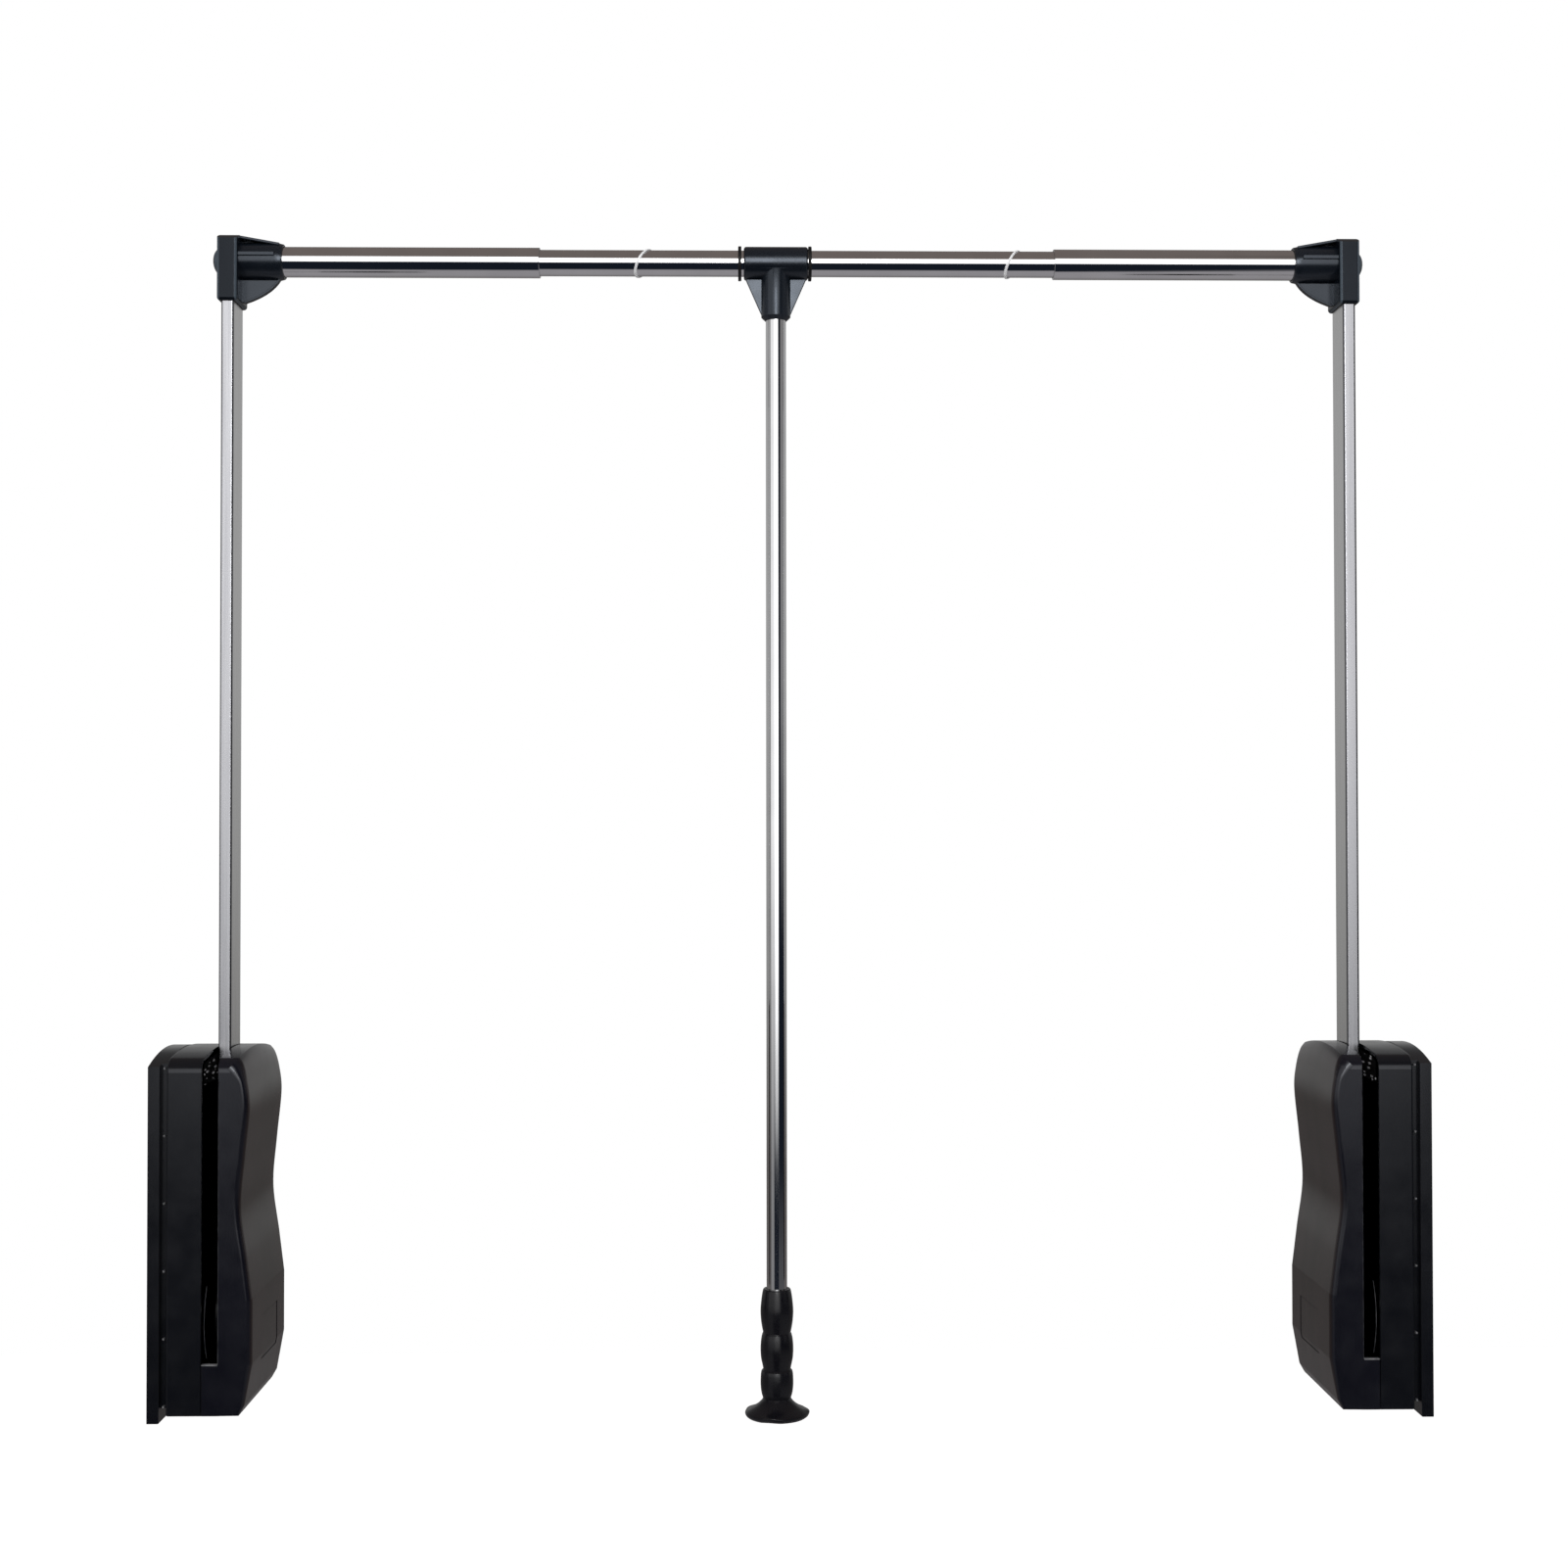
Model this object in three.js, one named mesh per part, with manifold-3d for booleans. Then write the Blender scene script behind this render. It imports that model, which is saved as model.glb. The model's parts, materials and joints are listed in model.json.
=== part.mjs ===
// Pull-down closet rod: sprung side housings, swinging arms, a telescopic rail and a hanging pull handle
// Millimetres, +Z up, +X along the rail, front towards -Y
// The origin lies on the left wall plate's mounting face, on the axis that the arms swing about
import * as THREE from 'three';
import * as BufferGeometryUtils from 'three/addons/utils/BufferGeometryUtils.js';
import Module from 'manifold-3d';

const wasm = await Module();
wasm.setup();

// Driving dimensions
const SPAN = 908; // between the two wall faces
const RAIL_HEIGHT = 767; // rail axis above the pivot axis
const HANDLE_LENGTH = 846.5; // rail axis to the underside of the grip
const BODY_HEIGHT = 254.5; // to the crown of the arched top
const BODY_BELOW_PIVOT = 62;
const BODY_FRONT = -58;
const BODY_REAR = 52;

// Clearances
const FIT = 0.3; // between seated pieces, and a side of a running fit
const SLIP = 1.25; // a side between the arm and the slot it swings through
const STOP_GAP = 0.55; // between the lowest arm and the slot's bottom
const OVERRUN = 2; // how far a cutter runs past the face it opens

// Wall plate
const PLATE_THICK = 8.6;
const PLATE_EXTRA_BELOW = 5;
const PLATE_CORNER_DROP = 9.5; // front and rear top corners, below the crown
const GROOVE_WIDTH = 4.9;
const GROOVE_DEPTH = 5;
const LUG_PITCH = 47.5;
const LUG_SIZE = 3;
const LUG_INSET = 1.2; // lug face behind the plate's front edge
const LUG_LOWEST = 6; // lowest lug above the body's bottom
const WALL_SCREW_RADIUS = 2.6;
const WALL_SCREW_HEAD_RADIUS = 5;
const WALL_SCREW_HEAD_DEPTH = 3;
const WALL_SCREW_INSET = 16;

// Shells
const OUTER_WIDTH = 24.2;
const SHELL_WALL = 2.4;
const FRONT_FILLET = 4.5;
const TOP_FILLET = 8.5; // round edge between the front and the arched top
const ARCH_DROP = 5.5; // front and rear edges of the arched top, below its crown
const BULGE = 23.8; // widest reach of the inner shell past the slot
const CHEEK_THICK = 1.8;
const SPINE_THICK = 6;
const SPINE_TOP_THICK = 5;
const BUMPER_THICK = 6;
const BUMPER_HEIGHT = 26;
const BUMPER_TOP_INSET = 19.5;
const PAD_THICK = 1.4;
const PAD_PROUD = 0.5;
const PAD_HEIGHT = 22;
const CASING_SCREW_RADIUS = 2;
const CASING_SCREW_LENGTH = 7;
const CASING_SCREW_HEAD_RADIUS = 4;
const CASING_SCREW_HEAD = 2.2;
const CASING_SCREW_LOW = 14; // above the body's bottom
const CASING_SCREW_HIGH = 23.5; // below the body's top
const CASING_SCREW_INSET = 20; // behind the body's front

// Arm
const ARM_THICK = 9.2;
const ARM_DEPTH = 30;
const ARM_WALL = 1.2;
const ARM_CORNER = 1.6;
const TONGUE_LENGTH = 42;
const ARM_PIN_RADIUS = 2;
const ARM_PIN_UP = 24; // above the tube's lower end

// Pivot
const AXLE_RADIUS = 5;
const AXLE_SOCKET_FLOOR = 5; // material left behind the axle in the wall plate
const AXLE_TAIL = 6.5; // past the inner cheek
const BUSH_WALL = 1.7;
const BARREL_RADIUS = 12;
const BARREL_FLAT_SHARE = 0.8; // flat of the double-D drive, a share of the barrel radius
const HUB_RADIUS = 22;
const CIRCLIP_WIDTH = 1.5;
const CIRCLIP_RING = 2.6;

// Drive gear and rack
const GEAR_MODULE = 2;
const GEAR_TEETH = 24;
const GEAR_WIDTH = 12;
const DEDENDUM_SHARE = 1.25; // root below the pitch circle, a share of the module
const PRESSURE_ANGLE = THREE.MathUtils.degToRad(20);
const BACKLASH = 0.4;
const SECTOR_TEETH = 10;
const SECTOR_FIRST_TOOTH = -8; // counted from the tooth at the rack, downwards
const ARM_SWING = THREE.MathUtils.degToRad(100);
const RACK_TEETH = 10;
const RACK_TEETH_BELOW = 8;
const RACK_END_SHARE = 0.25; // plain end past the last tooth, a share of the pitch
const RACK_THICK = 11.5;
const GUIDE_LIP = 2.6;
const GUIDE_SPARE = 2.7; // above the rack at its highest

// Gas spring
const GAS_RADIUS = 9;
const GAS_WALL = 1.5;
const GAS_LIFT = 16; // cylinder above the rack guide
const GAS_ROD_RADIUS = 4;
const GAS_PISTON_RADIUS = 7;
const GAS_PISTON_HEIGHT = 6;

// End bracket
const BRACKET_THICK = 15;
const BRACKET_HALF_DEPTH = 17.6;
const BRACKET_TOP = 19; // above the rail axis
const BRACKET_BOTTOM = 32; // below the rail axis
const BRACKET_CORNER = 2.5;
const BRACKET_CROWN_DROP = 5.5; // front and rear edges of the block's top, below its crown
const POCKET_ROOF = 7;
const SOCKET_LENGTH = 31;
const SOCKET_RADIUS = 13.8;
const MOUTH_RADIUS = 12.3;
const MOUTH_TAPER = 5;
const SOCKET_SOLID = 8.2;
const WEB_THICK = 3;
const FLANGE_HALF_DEPTH = 9; // flange along the upper web's edge
const FLANGE_THICK = 2;
const WEB_CURVE_SHARES = [0.72, 0.75]; // lower web's curve, of the socket's length and the block's drop
const RIB_THICK = 3;
const RIB_PROUD = 1;
const RIB_OFFSET = 2.9;
const BOLT_HEAD_RADIUS = 9.8;
const BOLT_HEAD_HEIGHT = 5.8;
const BOLT_RADIUS = 2.5;
const BOLT_TIP_GAP = 2;

// Rail
const OUTER_RAIL_RADIUS = 11;
const INNER_RAIL_RADIUS = 9.5;
const RAIL_WALL = 1.2;
const LEFT_RAIL_LENGTH = 210;
const RIGHT_RAIL_LENGTH = 200;
const LEFT_OVERLAP = 118; // inner rail inside the left outer rail
const RIGHT_OVERLAP = 174; // inner rail inside the right outer rail
const STOP_RING_WIRE = 0.5; // radius
const STOP_RING_LEAN = THREE.MathUtils.degToRad(25);
const STOP_RING_YAW = THREE.MathUtils.degToRad(19);

// Places along the bare stretch between the two outer rails
const LEFT_RING_SHARE = 0.201;
const TEE_SHARE = 0.4585;
const RIGHT_RING_SHARE = 0.92;

// Tee, handle and grip
const TEE_LENGTH = 47.2;
const TEE_RADIUS = 12.2;
const TEE_END_CHAMFER = 1.4;
const STEM_RADIUS = 10.8;
const STEM_LENGTH = 42.5;
const STEM_CHAMFER = 2.8;
const TEE_WEB_THICK = 3;
const TEE_WEB_REACH = 38; // below the rail axis
const TEE_RING_RADIUS = 12.6;
const TEE_RING_WIDTH = 2.4;
const TEE_RING_GAP = 1.8;
const ROD_RADIUS = 7.5;
const ROD_WALL = 1.2;
const STEM_ROOF = 3.2; // between the rail's bore and the rod's socket
const GRIP_LENGTH = 93;
const GRIP_BULGE = 12;
const GRIP_WAIST = 9.9;
const GRIP_BASE_RADIUS = 24;
const GRIP_FLOOR = 6;

// Facets round a full turn
const ROUND = 24;
const SMALL_ROUND = 12;
const WIRE_ROUND = 6;
const FILLET_STEPS = 3;
const ARCH_STEPS = 6;

// Places worked out from the sizes above
const BODY_BOTTOM = -BODY_BELOW_PIVOT;
const BODY_TOP = BODY_BOTTOM + BODY_HEIGHT;
const OUTER_X = PLATE_THICK + GROOVE_WIDTH;
const SLOT_X = OUTER_X + OUTER_WIDTH;
const SLOT_WIDTH = ARM_THICK + SLIP * 2;
const SLOT_END_X = SLOT_X + SLOT_WIDTH;
const LUG_COUNT = Math.floor((BODY_HEIGHT - PLATE_CORNER_DROP - LUG_LOWEST) / LUG_PITCH) + 1;
const CASING_SCREW_HEIGHTS = [BODY_BOTTOM + CASING_SCREW_LOW, BODY_TOP - CASING_SCREW_HIGH];
const CASING_SCREW_Y = BODY_FRONT + CASING_SCREW_INSET;
const ARM_X = SLOT_X + SLOT_WIDTH / 2;
const ARM_LEFT = ARM_X - ARM_THICK / 2;
const ARM_RIGHT = ARM_X + ARM_THICK / 2;
const ARM_START = HUB_RADIUS;
const ARM_PIN_HEIGHT = ARM_START + ARM_PIN_UP;
const LOWEST_REACH = -(BODY_FRONT + ARM_DEPTH / 2 * Math.cos(ARM_SWING)) / Math.sin(ARM_SWING);
const LOWEST_UNDERSIDE = LOWEST_REACH * Math.cos(ARM_SWING) - ARM_DEPTH / 2 * Math.sin(ARM_SWING);
const SLOT_BOTTOM = LOWEST_UNDERSIDE - STOP_GAP;
const PITCH_RADIUS = GEAR_MODULE * GEAR_TEETH / 2;
const GEAR_MIDDLE_X = (OUTER_X + SHELL_WALL + SLOT_X - CHEEK_THICK) / 2;
const GEAR_LEFT = GEAR_MIDDLE_X - GEAR_WIDTH / 2;
const GEAR_RIGHT = GEAR_MIDDLE_X + GEAR_WIDTH / 2;
const BUSH_RADIUS = AXLE_RADIUS + FIT + BUSH_WALL;
const RACK_PITCH = Math.PI * GEAR_MODULE;
const RACK_FRONT = PITCH_RADIUS - GEAR_MODULE;
const RACK_ROOT = PITCH_RADIUS + GEAR_MODULE + FIT * 2;
const RACK_REAR = RACK_ROOT + RACK_THICK;
const RACK_BOTTOM = -(RACK_TEETH_BELOW + RACK_END_SHARE) * RACK_PITCH;
const RACK_TOP = RACK_BOTTOM + (RACK_TEETH + RACK_END_SHARE * 2) * RACK_PITCH;
const SPRING_Y = (RACK_ROOT + RACK_REAR) / 2;
const GAS_TOP = BODY_TOP - ARCH_DROP - SHELL_WALL - FIT;
const GUIDE_TOP = RACK_TOP + PITCH_RADIUS * ARM_SWING + GUIDE_SPARE;
const GAS_BOTTOM = GUIDE_TOP + GAS_LIFT;
const BRACKET_LEFT = ARM_X - BRACKET_THICK / 2;
const BRACKET_RIGHT = ARM_X + BRACKET_THICK / 2;
const OUTER_RAIL_START = BRACKET_RIGHT + SOCKET_SOLID + FIT;
const BARE_START = OUTER_RAIL_START + LEFT_RAIL_LENGTH;
const BARE_END = SPAN - OUTER_RAIL_START - RIGHT_RAIL_LENGTH;
const BARE_LENGTH = BARE_END - BARE_START;
const INNER_RAIL_START = BARE_START - LEFT_OVERLAP;
const INNER_RAIL_END = BARE_END + RIGHT_OVERLAP;
const ARM_TOP = RAIL_HEIGHT + BRACKET_TOP - POCKET_ROOF - FIT;
const TEE_X = BARE_START + BARE_LENGTH * TEE_SHARE;

// Materials
function finish(color, roughness, metalness) {
  return new THREE.MeshStandardMaterial({ color, roughness, metalness });
}
const housingPlastic = finish(0x17181b, 0.42, 0);
const shellPlastic = finish(0x1d1e20, 0.45, 0);
const slatePlastic = finish(0x22262b, 0.4, 0);
const blackSteel = finish(0x1a1b1d, 0.5, 0.6);
const chrome = finish(0xd8dadc, 0.08, 1);
const aluminium = finish(0xaeb0b2, 0.35, 1);
const zincSteel = finish(0x9a9da0, 0.35, 1);
const nylon = finish(0xd9d6cc, 0.5, 0);
const gearPlastic = finish(0x2b2d30, 0.5, 0);
const rubber = finish(0x141416, 0.7, 0);
const foam = finish(0x1c1c1e, 0.95, 0);

// Closed solids for cutting and joining
const MERGE_DISTANCE = 1e-4;

function solid(geometry) {
  const bare = geometry.index ? geometry.toNonIndexed() : geometry.clone();
  bare.deleteAttribute('normal');
  bare.deleteAttribute('uv');
  const merged = BufferGeometryUtils.mergeVertices(bare, MERGE_DISTANCE);
  const corners = merged.index.array;
  const triangles = [];
  for (let i = 0; i < corners.length; i += 3) {
    const [a, b, c] = [corners[i], corners[i + 1], corners[i + 2]];
    if (a !== b && b !== c && c !== a) triangles.push(a, b, c);
  }
  merged.setIndex(triangles);
  return mergedSolid(merged);
}

function mergedSolid(geometry) {
  return new wasm.Manifold(new wasm.Mesh({
    numProp: 3,
    vertProperties: new Float32Array(geometry.attributes.position.array),
    triVerts: new Uint32Array(geometry.index.array),
  }));
}

function join(...solids) {
  return solids.reduce((whole, next) => whole.add(next));
}

function cut(body, ...cutters) {
  return cutters.reduce((rest, cutter) => rest.subtract(cutter), body);
}

function toGeometry(body) {
  const mesh = body.getMesh();
  const geometry = new THREE.BufferGeometry();
  geometry.setAttribute('position', new THREE.BufferAttribute(new Float32Array(mesh.vertProperties), 3));
  geometry.setIndex(new THREE.BufferAttribute(new Uint32Array(mesh.triVerts), 1));
  const faceted = geometry.toNonIndexed();
  faceted.computeVertexNormals();
  return faceted;
}

function addPiece(group, name, body, material) {
  const mesh = new THREE.Mesh(toGeometry(body), material);
  mesh.name = name;
  group.add(mesh);
}

// Basic shapes, each named by the axis it runs along
const AXES = { x: new THREE.Vector3(1, 0, 0), y: new THREE.Vector3(0, 1, 0), z: new THREE.Vector3(0, 0, 1) };
const ALONG_X = new THREE.Matrix4().makeBasis(AXES.y, AXES.z, AXES.x);
const ALONG_FRONT = new THREE.Matrix4().makeBasis(AXES.x, AXES.z, AXES.y.clone().negate());
const TURNED_X = new THREE.Matrix4().makeBasis(AXES.y, AXES.x, AXES.z.clone().negate());
const TURNED_Z = new THREE.Matrix4().makeBasis(AXES.x, AXES.z, AXES.y.clone().negate());

function box(x0, x1, y0, y1, z0, z1) {
  const geometry = new THREE.BoxGeometry(x1 - x0, y1 - y0, z1 - z0);
  geometry.translate((x0 + x1) / 2, (y0 + y1) / 2, (z0 + z1) / 2);
  return solid(geometry);
}

function outline(points) {
  return new THREE.Shape(points.map(([u, v]) => new THREE.Vector2(u, v)));
}

function rectangle(u0, u1, v0, v1) {
  return outline([[u0, v0], [u1, v0], [u1, v1], [u0, v1]]);
}

// Prism of a (y, z) outline from x0 to x1
function prismX(shape, x0, x1) {
  const settings = { depth: x1 - x0, bevelEnabled: false, curveSegments: 4 };
  const geometry = new THREE.ExtrudeGeometry(shape, settings);
  geometry.applyMatrix4(ALONG_X);
  geometry.translate(x0, 0, 0);
  return solid(geometry);
}

// Prism of an (x, z) outline from the rear plane to the front plane
function prismY(shape, front, rear, fillet = 0) {
  const geometry = new THREE.ExtrudeGeometry(shape, {
    depth: rear - front - fillet * 2,
    bevelEnabled: fillet > 0,
    bevelThickness: fillet,
    bevelSize: fillet,
    bevelOffset: -fillet,
    bevelSegments: 2,
    curveSegments: 3,
  });
  geometry.applyMatrix4(ALONG_FRONT);
  geometry.translate(0, rear - fillet, 0);
  return solid(geometry);
}

// Prism of an (x, y) outline from z0 to z1
function prismZ(shape, z0, z1) {
  const settings = { depth: z1 - z0, bevelEnabled: false, curveSegments: 2 };
  const geometry = new THREE.ExtrudeGeometry(shape, settings);
  geometry.translate(0, 0, z0);
  return solid(geometry);
}

// Turned solids: the profile holds [place along the axis, radius] and runs from the low end to the high one
function turnedX(profile, y, z, facets = ROUND) {
  const points = profile.map(([along, radius]) => new THREE.Vector2(radius, along));
  const geometry = new THREE.LatheGeometry(points, facets);
  geometry.applyMatrix4(TURNED_X);
  geometry.translate(0, y, z);
  return solid(geometry);
}

function turnedZ(profile, x, y, facets = ROUND) {
  const points = profile.map(([along, radius]) => new THREE.Vector2(radius, along));
  const geometry = new THREE.LatheGeometry(points, facets);
  geometry.applyMatrix4(TURNED_Z);
  geometry.translate(x, y, 0);
  return solid(geometry);
}

function rodX(radius, x0, x1, y, z, facets = ROUND) {
  return turnedX([[x0, 0], [x0, radius], [x1, radius], [x1, 0]], y, z, facets);
}

function rodZ(radius, z0, z1, x, y, facets = ROUND) {
  return turnedZ([[z0, 0], [z0, radius], [z1, radius], [z1, 0]], x, y, facets);
}

function tubeX(radius, bore, x0, x1, y, z, facets = ROUND) {
  return turnedX([[x0, bore], [x0, radius], [x1, radius], [x1, bore], [x0, bore]], y, z, facets);
}

function roundedRectangle(u0, u1, v0, v1, radius) {
  const shape = new THREE.Shape();
  shape.moveTo(u0 + radius, v0);
  shape.lineTo(u1 - radius, v0);
  shape.absarc(u1 - radius, v0 + radius, radius, -Math.PI / 2, 0, false);
  shape.lineTo(u1, v1 - radius);
  shape.absarc(u1 - radius, v1 - radius, radius, 0, Math.PI / 2, false);
  shape.lineTo(u0 + radius, v1);
  shape.absarc(u0 + radius, v1 - radius, radius, Math.PI / 2, Math.PI, false);
  shape.lineTo(u0, v0 + radius);
  shape.absarc(u0 + radius, v0 + radius, radius, Math.PI, Math.PI * 1.5, false);
  return shape;
}

// Space under a top that arches from front to rear, with a round front edge, lowered by an inset
function underArch(x0, x1, inset) {
  const middle = (BODY_FRONT + BODY_REAR) / 2;
  const half = (BODY_REAR - BODY_FRONT) / 2;
  const height = (y) => BODY_TOP - inset - ARCH_DROP * ((y - middle) / half) ** 2;
  const rear = BODY_REAR + OVERRUN;
  const turnStart = BODY_FRONT + TOP_FILLET;
  const points = [[BODY_FRONT - OVERRUN, BODY_BOTTOM - OVERRUN], [rear, BODY_BOTTOM - OVERRUN]];
  for (let step = 0; step <= ARCH_STEPS; step += 1) {
    const y = rear + (turnStart - rear) * step / ARCH_STEPS;
    points.push([y, height(y)]);
  }
  for (let step = 1; step <= FILLET_STEPS; step += 1) {
    const turn = Math.PI / 2 * step / FILLET_STEPS;
    points.push([
      turnStart - TOP_FILLET * Math.sin(turn),
      height(turnStart) - TOP_FILLET * (1 - Math.cos(turn)),
    ]);
  }
  points.push([BODY_FRONT - OVERRUN, height(turnStart) - TOP_FILLET]);
  return prismX(outline(points), x0, x1);
}

// Wall plate with an arched top, a core set back to leave the shadow groove, and the lugs in that groove
function wallPlate() {
  const bottom = BODY_BOTTOM - PLATE_EXTRA_BELOW;
  const corner = BODY_TOP - PLATE_CORNER_DROP;
  const middle = (BODY_FRONT + BODY_REAR) / 2;
  const arch = new THREE.Shape();
  arch.moveTo(BODY_FRONT, bottom);
  arch.lineTo(BODY_REAR, bottom);
  arch.lineTo(BODY_REAR, corner);
  arch.quadraticCurveTo(middle, BODY_TOP * 2 - corner, BODY_FRONT, corner);
  const plate = prismX(arch, 0, PLATE_THICK);
  const coreEnd = OUTER_X - FIT;
  const core = prismX(arch, PLATE_THICK - OVERRUN, coreEnd).intersect(box(
    0, coreEnd + OVERRUN,
    BODY_FRONT + GROOVE_DEPTH, BODY_REAR - GROOVE_DEPTH,
    BODY_BOTTOM + GROOVE_DEPTH, BODY_TOP + OVERRUN,
  ));
  const lugs = [];
  for (let i = 0; i < LUG_COUNT; i += 1) {
    const z = BODY_BOTTOM + LUG_LOWEST + i * LUG_PITCH;
    lugs.push(box(
      PLATE_THICK - OVERRUN, coreEnd,
      BODY_FRONT + LUG_INSET, BODY_FRONT + GROOVE_DEPTH + OVERRUN,
      z - LUG_SIZE / 2, z + LUG_SIZE / 2,
    ));
  }
  const holes = [];
  for (const y of [BODY_FRONT + WALL_SCREW_INSET, BODY_REAR - WALL_SCREW_INSET]) {
    for (const z of [BODY_BOTTOM + WALL_SCREW_INSET * 2, BODY_TOP - WALL_SCREW_INSET * 2]) {
      const head = coreEnd - WALL_SCREW_HEAD_DEPTH;
      holes.push(rodX(WALL_SCREW_RADIUS, -OVERRUN, coreEnd + OVERRUN, y, z, SMALL_ROUND));
      holes.push(rodX(WALL_SCREW_HEAD_RADIUS, head, coreEnd + OVERRUN, y, z, SMALL_ROUND));
    }
  }
  for (const z of CASING_SCREW_HEIGHTS) {
    const tip = OUTER_X + SHELL_WALL - CASING_SCREW_LENGTH;
    holes.push(rodX(CASING_SCREW_RADIUS + FIT, tip - FIT, coreEnd + OVERRUN, CASING_SCREW_Y, z, SMALL_ROUND));
  }
  const socket = rodX(AXLE_RADIUS + FIT, AXLE_SOCKET_FLOOR, coreEnd + OVERRUN, 0, 0, SMALL_ROUND);
  return cut(join(plate, core, ...lugs), ...holes, socket);
}

// Outer shell: a tray that stands on the wall plate and is open towards the slot
function outerShell() {
  const skin = rectangle(OUTER_X, SLOT_X + FRONT_FILLET, BODY_BOTTOM, BODY_TOP);
  const block = prismY(skin, BODY_FRONT, BODY_REAR + FRONT_FILLET, FRONT_FILLET / 2);
  const behind = box(
    OUTER_X - OVERRUN, SLOT_X + FRONT_FILLET + OVERRUN,
    BODY_REAR, BODY_REAR + FRONT_FILLET + OVERRUN,
    BODY_BOTTOM - OVERRUN, BODY_TOP + OVERRUN,
  );
  const beside = box(
    SLOT_X, SLOT_X + FRONT_FILLET + OVERRUN,
    BODY_FRONT - OVERRUN, BODY_REAR + OVERRUN,
    BODY_BOTTOM - OVERRUN, BODY_TOP + OVERRUN,
  );
  const hollow = box(
    OUTER_X + SHELL_WALL, SLOT_X + OVERRUN,
    BODY_FRONT + SHELL_WALL, BODY_REAR - SHELL_WALL,
    BODY_BOTTOM + SHELL_WALL, BODY_TOP - SHELL_WALL,
  );
  const arched = block.intersect(underArch(OUTER_X - OVERRUN, SLOT_X + FRONT_FILLET + OVERRUN, 0));
  const archedHollow = hollow.intersect(underArch(OUTER_X, SLOT_X + OVERRUN * 2, SHELL_WALL));
  const axleHole = rodX(AXLE_RADIUS + FIT, OUTER_X - OVERRUN, GEAR_LEFT, 0, 0, SMALL_ROUND);
  const screwHoles = CASING_SCREW_HEIGHTS.map((z) => (
    rodX(CASING_SCREW_RADIUS + FIT, OUTER_X - OVERRUN, GEAR_LEFT, CASING_SCREW_Y, z, SMALL_ROUND)
  ));
  return cut(arched, behind, beside, archedHollow, axleHole, ...screwHoles);
}

// Side profile of the inner shell, bottom to top: [share of the body height, share of the bulge]
const TAPER_SHARES = [[0, 0.62], [0.026, 0.78], [0.141, 1], [0.316, 1]];
const WAVE_SHARES = [
  [0.316, 1], [0.434, 0.84], [0.572, 0.65], [0.71, 0.76], [0.848, 0.9], [0.937, 0.82], [0.98, 0.7], [1, 0.55],
];

// Points [x, z] of that side, a wall's thickness inside the skin
function innerProfile(wall) {
  const place = ([heightShare, bulgeShare]) => [
    SLOT_END_X + BULGE * bulgeShare - wall,
    BODY_BOTTOM + wall + (BODY_HEIGHT - wall * 2) * heightShare,
  ];
  const taper = TAPER_SHARES.map(place);
  const wave = new THREE.SplineCurve(WAVE_SHARES.map((shares) => new THREE.Vector2(...place(shares))));
  const wavePoints = wave.getPoints((WAVE_SHARES.length - 1) * 2).map((point) => [point.x, point.y]);
  return [...taper, ...wavePoints.slice(1)];
}

// The same side moved in by a fillet's inset, its first and last points along the flat bottom and top too
function insetProfile(points, inset) {
  const normals = points.slice(1).map(([x, z], i) => {
    const [dx, dz] = [x - points[i][0], z - points[i][1]];
    const length = Math.hypot(dx, dz);
    return [dz / length, -dx / length];
  });
  return points.map(([x, z], i) => {
    const before = i === 0 ? [0, -1] : normals[i - 1];
    const after = i === points.length - 1 ? [0, 1] : normals[i];
    const mitre = inset / (1 + before[0] * after[0] + before[1] * after[1]);
    return [x - (before[0] + after[0]) * mitre, z - (before[1] + after[1]) * mitre];
  });
}

// Solid with a flat left side, lofted from front to rear through sections that give its y and right side
function loftY(left, sections) {
  const levels = sections[0].side.length;
  const last = sections.length - 1;
  const positions = sections.flatMap(({ y, side }) => side.flatMap(([x, z]) => [left, y, z, x, y, z]));
  const leftAt = (section, level) => (section * levels + level) * 2;
  const rightAt = (section, level) => leftAt(section, level) + 1;
  const triangles = [];
  const quad = (a, b, c, d) => triangles.push(a, b, c, a, c, d);
  for (let j = 0; j < levels - 1; j += 1) {
    quad(leftAt(0, j), rightAt(0, j), rightAt(0, j + 1), leftAt(0, j + 1));
    quad(rightAt(last, j), leftAt(last, j), leftAt(last, j + 1), rightAt(last, j + 1));
    for (let k = 0; k < last; k += 1) {
      quad(rightAt(k, j), rightAt(k + 1, j), rightAt(k + 1, j + 1), rightAt(k, j + 1));
      quad(leftAt(k, j), leftAt(k, j + 1), leftAt(k + 1, j + 1), leftAt(k + 1, j));
    }
  }
  for (let k = 0; k < last; k += 1) {
    quad(leftAt(k, 0), leftAt(k + 1, 0), rightAt(k + 1, 0), rightAt(k, 0));
    const top = levels - 1;
    quad(leftAt(k, top), rightAt(k, top), rightAt(k + 1, top), leftAt(k + 1, top));
  }
  const geometry = new THREE.BufferGeometry();
  geometry.setAttribute('position', new THREE.Float32BufferAttribute(positions, 3));
  geometry.setIndex(triangles);
  return mergedSolid(geometry);
}

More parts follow.
